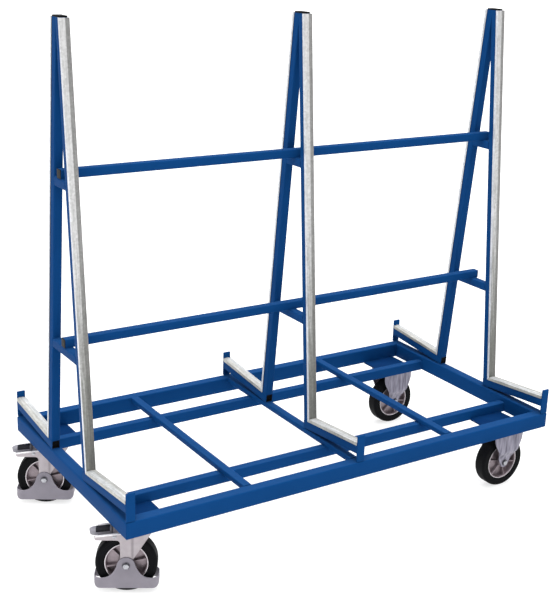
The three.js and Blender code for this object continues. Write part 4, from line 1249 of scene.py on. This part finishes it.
def pad_surfaces():
    """Pedal pad and its inlay: a section with a crowned top carried along the pad, its width and
    height shrinking to a round tip; the inlay is a thin shell over the crown."""
    bottom = PEDAL_SHOE + PEDAL_LEVER_SHEET
    height = PAD_TOP - bottom
    side, rest = PAD_HALF_WIDTH - PAD_CROWN, PAD_HALF_WIDTH - PAD_FOOT
    crown_level = height - PAD_CROWN
    crown = np.concatenate([
        arc((side, crown_level), PAD_CROWN, 0, 90, PAD_CROWN_STEPS),
        arc((-side, crown_level), PAD_CROWN, 90, 180, PAD_CROWN_STEPS),
    ])
    foot = np.concatenate([
        arc((-rest, PAD_FOOT), PAD_FOOT, 180, 270, PAD_FOOT_STEPS),
        arc((rest, PAD_FOOT), PAD_FOOT, 270, 360, PAD_FOOT_STEPS),
    ])
    turn = np.linspace(0, math.pi / 2, PAD_TIP_STEPS)
    shrink = np.cos(turn).clip(0)
    x = np.concatenate([
        np.add(PAD_START, PAD_START_STEPS), PAD_END - PAD_TIP + PAD_TIP * np.sin(turn),
    ])
    wide = np.concatenate([PAD_START_SHARES, np.maximum(shrink, PAD_TIP_WIDTH)])
    tip_height = PAD_TIP_HEIGHT + (1 - PAD_TIP_HEIGHT) * np.sqrt(shrink)
    high = np.concatenate([PAD_START_SHARES, tip_height])
    section = np.concatenate([crown, foot])
    pad = np.stack([
        np.repeat(x[:, None], len(section), 1),
        wide[:, None] * section[:, 0],
        bottom + height / 2 + high[:, None] * (section[:, 1] - height / 2),
    ], -1)
    outward = unit_rows(crown - (0, crown_level))
    shell = np.concatenate([
        crown + INLAY_PROUD * outward, (crown - INLAY_SINK * outward)[::-1],
    ])
    start, end = PAD_START + INLAY_SETBACK, PAD_END - PAD_TIP - INLAY_TIP_GAP
    inlay = np.stack([
        np.column_stack([np.full(len(shell), place), shell[:, 0], bottom + shell[:, 1]])
        for place in (start, start + INLAY_EDGE, end - INLAY_EDGE, end)
    ])
    return skin(pad), skin(inlay)


def build_swivel_caster(row):
    """Head, fork, guard, wheel and brake pedal of a swivel caster."""
    prefix = f"{row}_left"
    swivel, brake = f"{row}_swivel", f"{row}_brake"
    kingpin = joint_place(f"{row}_swivel_turn") * (1, 1, 0)
    axle = joint_place(f"{prefix}_wheel_spin")
    pin = joint_place(f"{row}_brake_tip")
    heading = unit((axle - kingpin) * (1, 1, 0))
    sideways = np.cross(Z, heading)
    trail = math.dist(axle[:2], kingpin[:2])
    from_kingpin = (kingpin, heading, sideways, Z)

    head = [caster_plate(kingpin[:2], SWIVEL_PLATE), moved(turned(BALL_RACE), kingpin)]
    zinc(f"{prefix}_head", head, ZINC_PLATE, "cart", [f"{prefix}_caster_head"])
    build_mount_bolts(prefix, kingpin[:2], SWIVEL_PLATE)

    sheets = placed(swivel_fork_surfaces(trail, pin[2]), *from_kingpin)
    fork = zinc(f"{prefix}_fork_sheet", sheets, FOLDED_ZINC, swivel, [f"{prefix}_fork"])
    # The fold attribute places the painted shade along the fork's crease
    mark(fork, "fold", kingpin + FORK_CREASE * heading, heading / FOLD_SHADE)
    lips = placed(arm_lip_surfaces(trail, pin[2]), *from_kingpin)
    # The lips take a pale zinc: a painted highlight along the arms' tops
    zinc(f"{prefix}_arm_lips", lips, ZINC_PAINTED_HIGHLIGHT, swivel)

    bolt, washers = axle_bolt_surfaces(GUARD_HALF_WIDTH + SEAM, axle, heading, Z, -sideways)
    # The washers are painted dark: painted shade round the hexagons
    zinc(f"{prefix}_axle_washers", washers, ZINC_PAINTED_SHADE, swivel)
    bolt.append(moved(turned(RIVET_SHANK, SMALL_ROUND_STEPS), pin, heading, Z, -sideways))
    dome = turned(RIVET_DOME, SMALL_ROUND_STEPS)
    outside = FORK_MIDDLE + FORK_SHEET / 2
    for centre in (pin, kingpin + heading * ARM_RIVET_REACH + ARM_RIVET_LEVEL * Z):
        for side in (-1, 1):
            spot = centre + side * outside * sideways
            bolt.append(moved(dome, spot, heading, -side * Z, side * sideways))
    zinc(f"{prefix}_axle_bolt", bolt, BRIGHT_ZINC, swivel)

    guard = moved(guard_surface(), (*axle[:2], 0), heading, sideways, Z)
    piece(
        f"{prefix}_guard_shell", [guard], GREY_ENAMEL, swivel,
        [f"{prefix}_foot_guard"],
    )
    build_wheel(prefix, axle, -sideways)

    slope = math.radians(PEDAL_SLOPE)
    forward = heading * math.cos(slope) - Z * math.sin(slope)
    upward = heading * math.sin(slope) + Z * math.cos(slope)
    from_pin = (pin, forward, sideways, upward)
    lever = placed(pedal_surfaces(), *from_pin)
    zinc(f"{prefix}_pedal_lever", lever, ZINC_PLATE, brake, [f"{prefix}_brake_pedal"])
    pad, inlay = placed(pad_surfaces(), *from_pin)
    piece(f"{prefix}_pedal_pad", [pad], PEDAL_PLASTIC, brake)
    piece(f"{prefix}_pedal_inlay", [inlay], PEDAL_INLAY, brake)


build_frame_ring()
build_stops()
build_floor_bars()
for place_name, place_x in A_FRAMES.items():
    build_a_frame(place_name, place_x)
build_rails()
build_welds()
for row_name in ("front", "back"):
    build_swivel_caster(row_name)
    build_fixed_caster(row_name)


# Studio: pale floor, soft light and the camera

def build_floor():
    """A square of floor far wider than the picture; seen directly it glows evenly."""
    outline = np.array([(-1, -1), (1, -1), (1, 1), (-1, 1)]) * FLOOR_REACH
    mesh = bpy.data.meshes.new("floor")
    mesh.from_pydata((ring(outline, FLOOR_LEVEL) * MM).tolist(), [], [[0, 1, 2, 3]])
    # Frosted white studio table, lit from below so that shadows on it stay faint, less to the right
    frosted = mottled_finish(
        "frosted_table", "#9e9e9e", "#a2a2a2", 900, (0.8, 0.9), 12, 0.02, gloss=0.1
    )
    tree = frosted.node_tree
    place = add(tree, "ShaderNodeTexCoord").outputs["Object"]
    glow = add(tree, "ShaderNodeMapRange", {
        "Value": add(tree, "ShaderNodeSeparateXYZ", {"Vector": place}).outputs["X"],
        "From Min": GLOW_SPAN[0], "From Max": GLOW_SPAN[1],
        "To Min": FLOOR_GLOW[0], "To Max": FLOOR_GLOW[1],
    })
    seen = add(tree, "ShaderNodeLightPath").outputs["Is Camera Ray"]
    strength = add(tree, "ShaderNodeMix", {0: seen, 2: glow, 3: FLOOR_SEEN})
    shader = tree.nodes["Principled BSDF"]
    shader.inputs["Emission Color"].default_value = (1, 1, 1, 1)
    tree.links.new(strength.outputs[0], shader.inputs["Emission Strength"])
    mesh.materials.append(frosted)
    floor = bpy.data.objects.new("floor", mesh)
    bpy.context.scene.collection.objects.link(floor)


def build_sky():
    """Soft box overhead: the sky's brightness rises with a power of its height above the horizon,
    and leans a little towards the front and the right; seen directly it is a pale backdrop."""
    world = bpy.data.worlds.new("studio")
    world.use_nodes = True
    tree = world.node_tree
    direction = add(tree, "ShaderNodeTexCoord").outputs["Generated"]
    height = add(tree, "ShaderNodeSeparateXYZ", {"Vector": direction}).outputs["Z"]
    focused = add(tree, "ShaderNodeMath", {0: height, 1: SKY_FOCUS}, operation="POWER")
    overhead = add(tree, "ShaderNodeMath", {
        0: focused, 1: SKY_OVERHEAD, 2: SKY_HORIZON,
    }, operation="MULTIPLY_ADD")
    towards = add(tree, "ShaderNodeVectorMath", {
        0: direction, 1: SKY_LEAN,
    }, operation="DOT_PRODUCT")
    light = add(tree, "ShaderNodeMath", {0: overhead, 1: towards}, operation="ADD")
    seen = add(tree, "ShaderNodeLightPath").outputs["Is Camera Ray"]
    strength = add(tree, "ShaderNodeMix", {0: seen, 2: light, 3: BACKDROP})
    background = tree.nodes["Background"]
    background.inputs["Color"].default_value = (1, 1, 1, 1)
    tree.links.new(strength.outputs[0], background.inputs["Strength"])
    bpy.context.scene.world = world


def build_camera():
    """A camera at its place: rolled about its line of sight, raised from looking straight down
    until it looks down by its elevation only, and turned about the upright by its azimuth."""
    azimuth, elevation, roll = map(math.radians, (CAMERA_AZIMUTH, CAMERA_ELEVATION, CAMERA_ROLL))
    turn = (
        Matrix.Rotation(azimuth, 4, "Z")
        @ Matrix.Rotation(math.pi / 2 - elevation, 4, "X")
        @ Matrix.Rotation(roll, 4, "Z")
    )
    data = bpy.data.cameras.new("camera")
    data.sensor_width = SENSOR
    data.lens = SENSOR * FOCAL_PIXELS / PICTURE_HEIGHT
    camera = bpy.data.objects.new("camera", data)
    camera.matrix_world = Matrix.Translation(CAMERA_PLACE) @ turn
    bpy.context.scene.collection.objects.link(camera)
    bpy.context.scene.camera = camera


build_floor()
build_sky()
bpy.context.scene.view_settings.view_transform = "Standard"
build_camera()
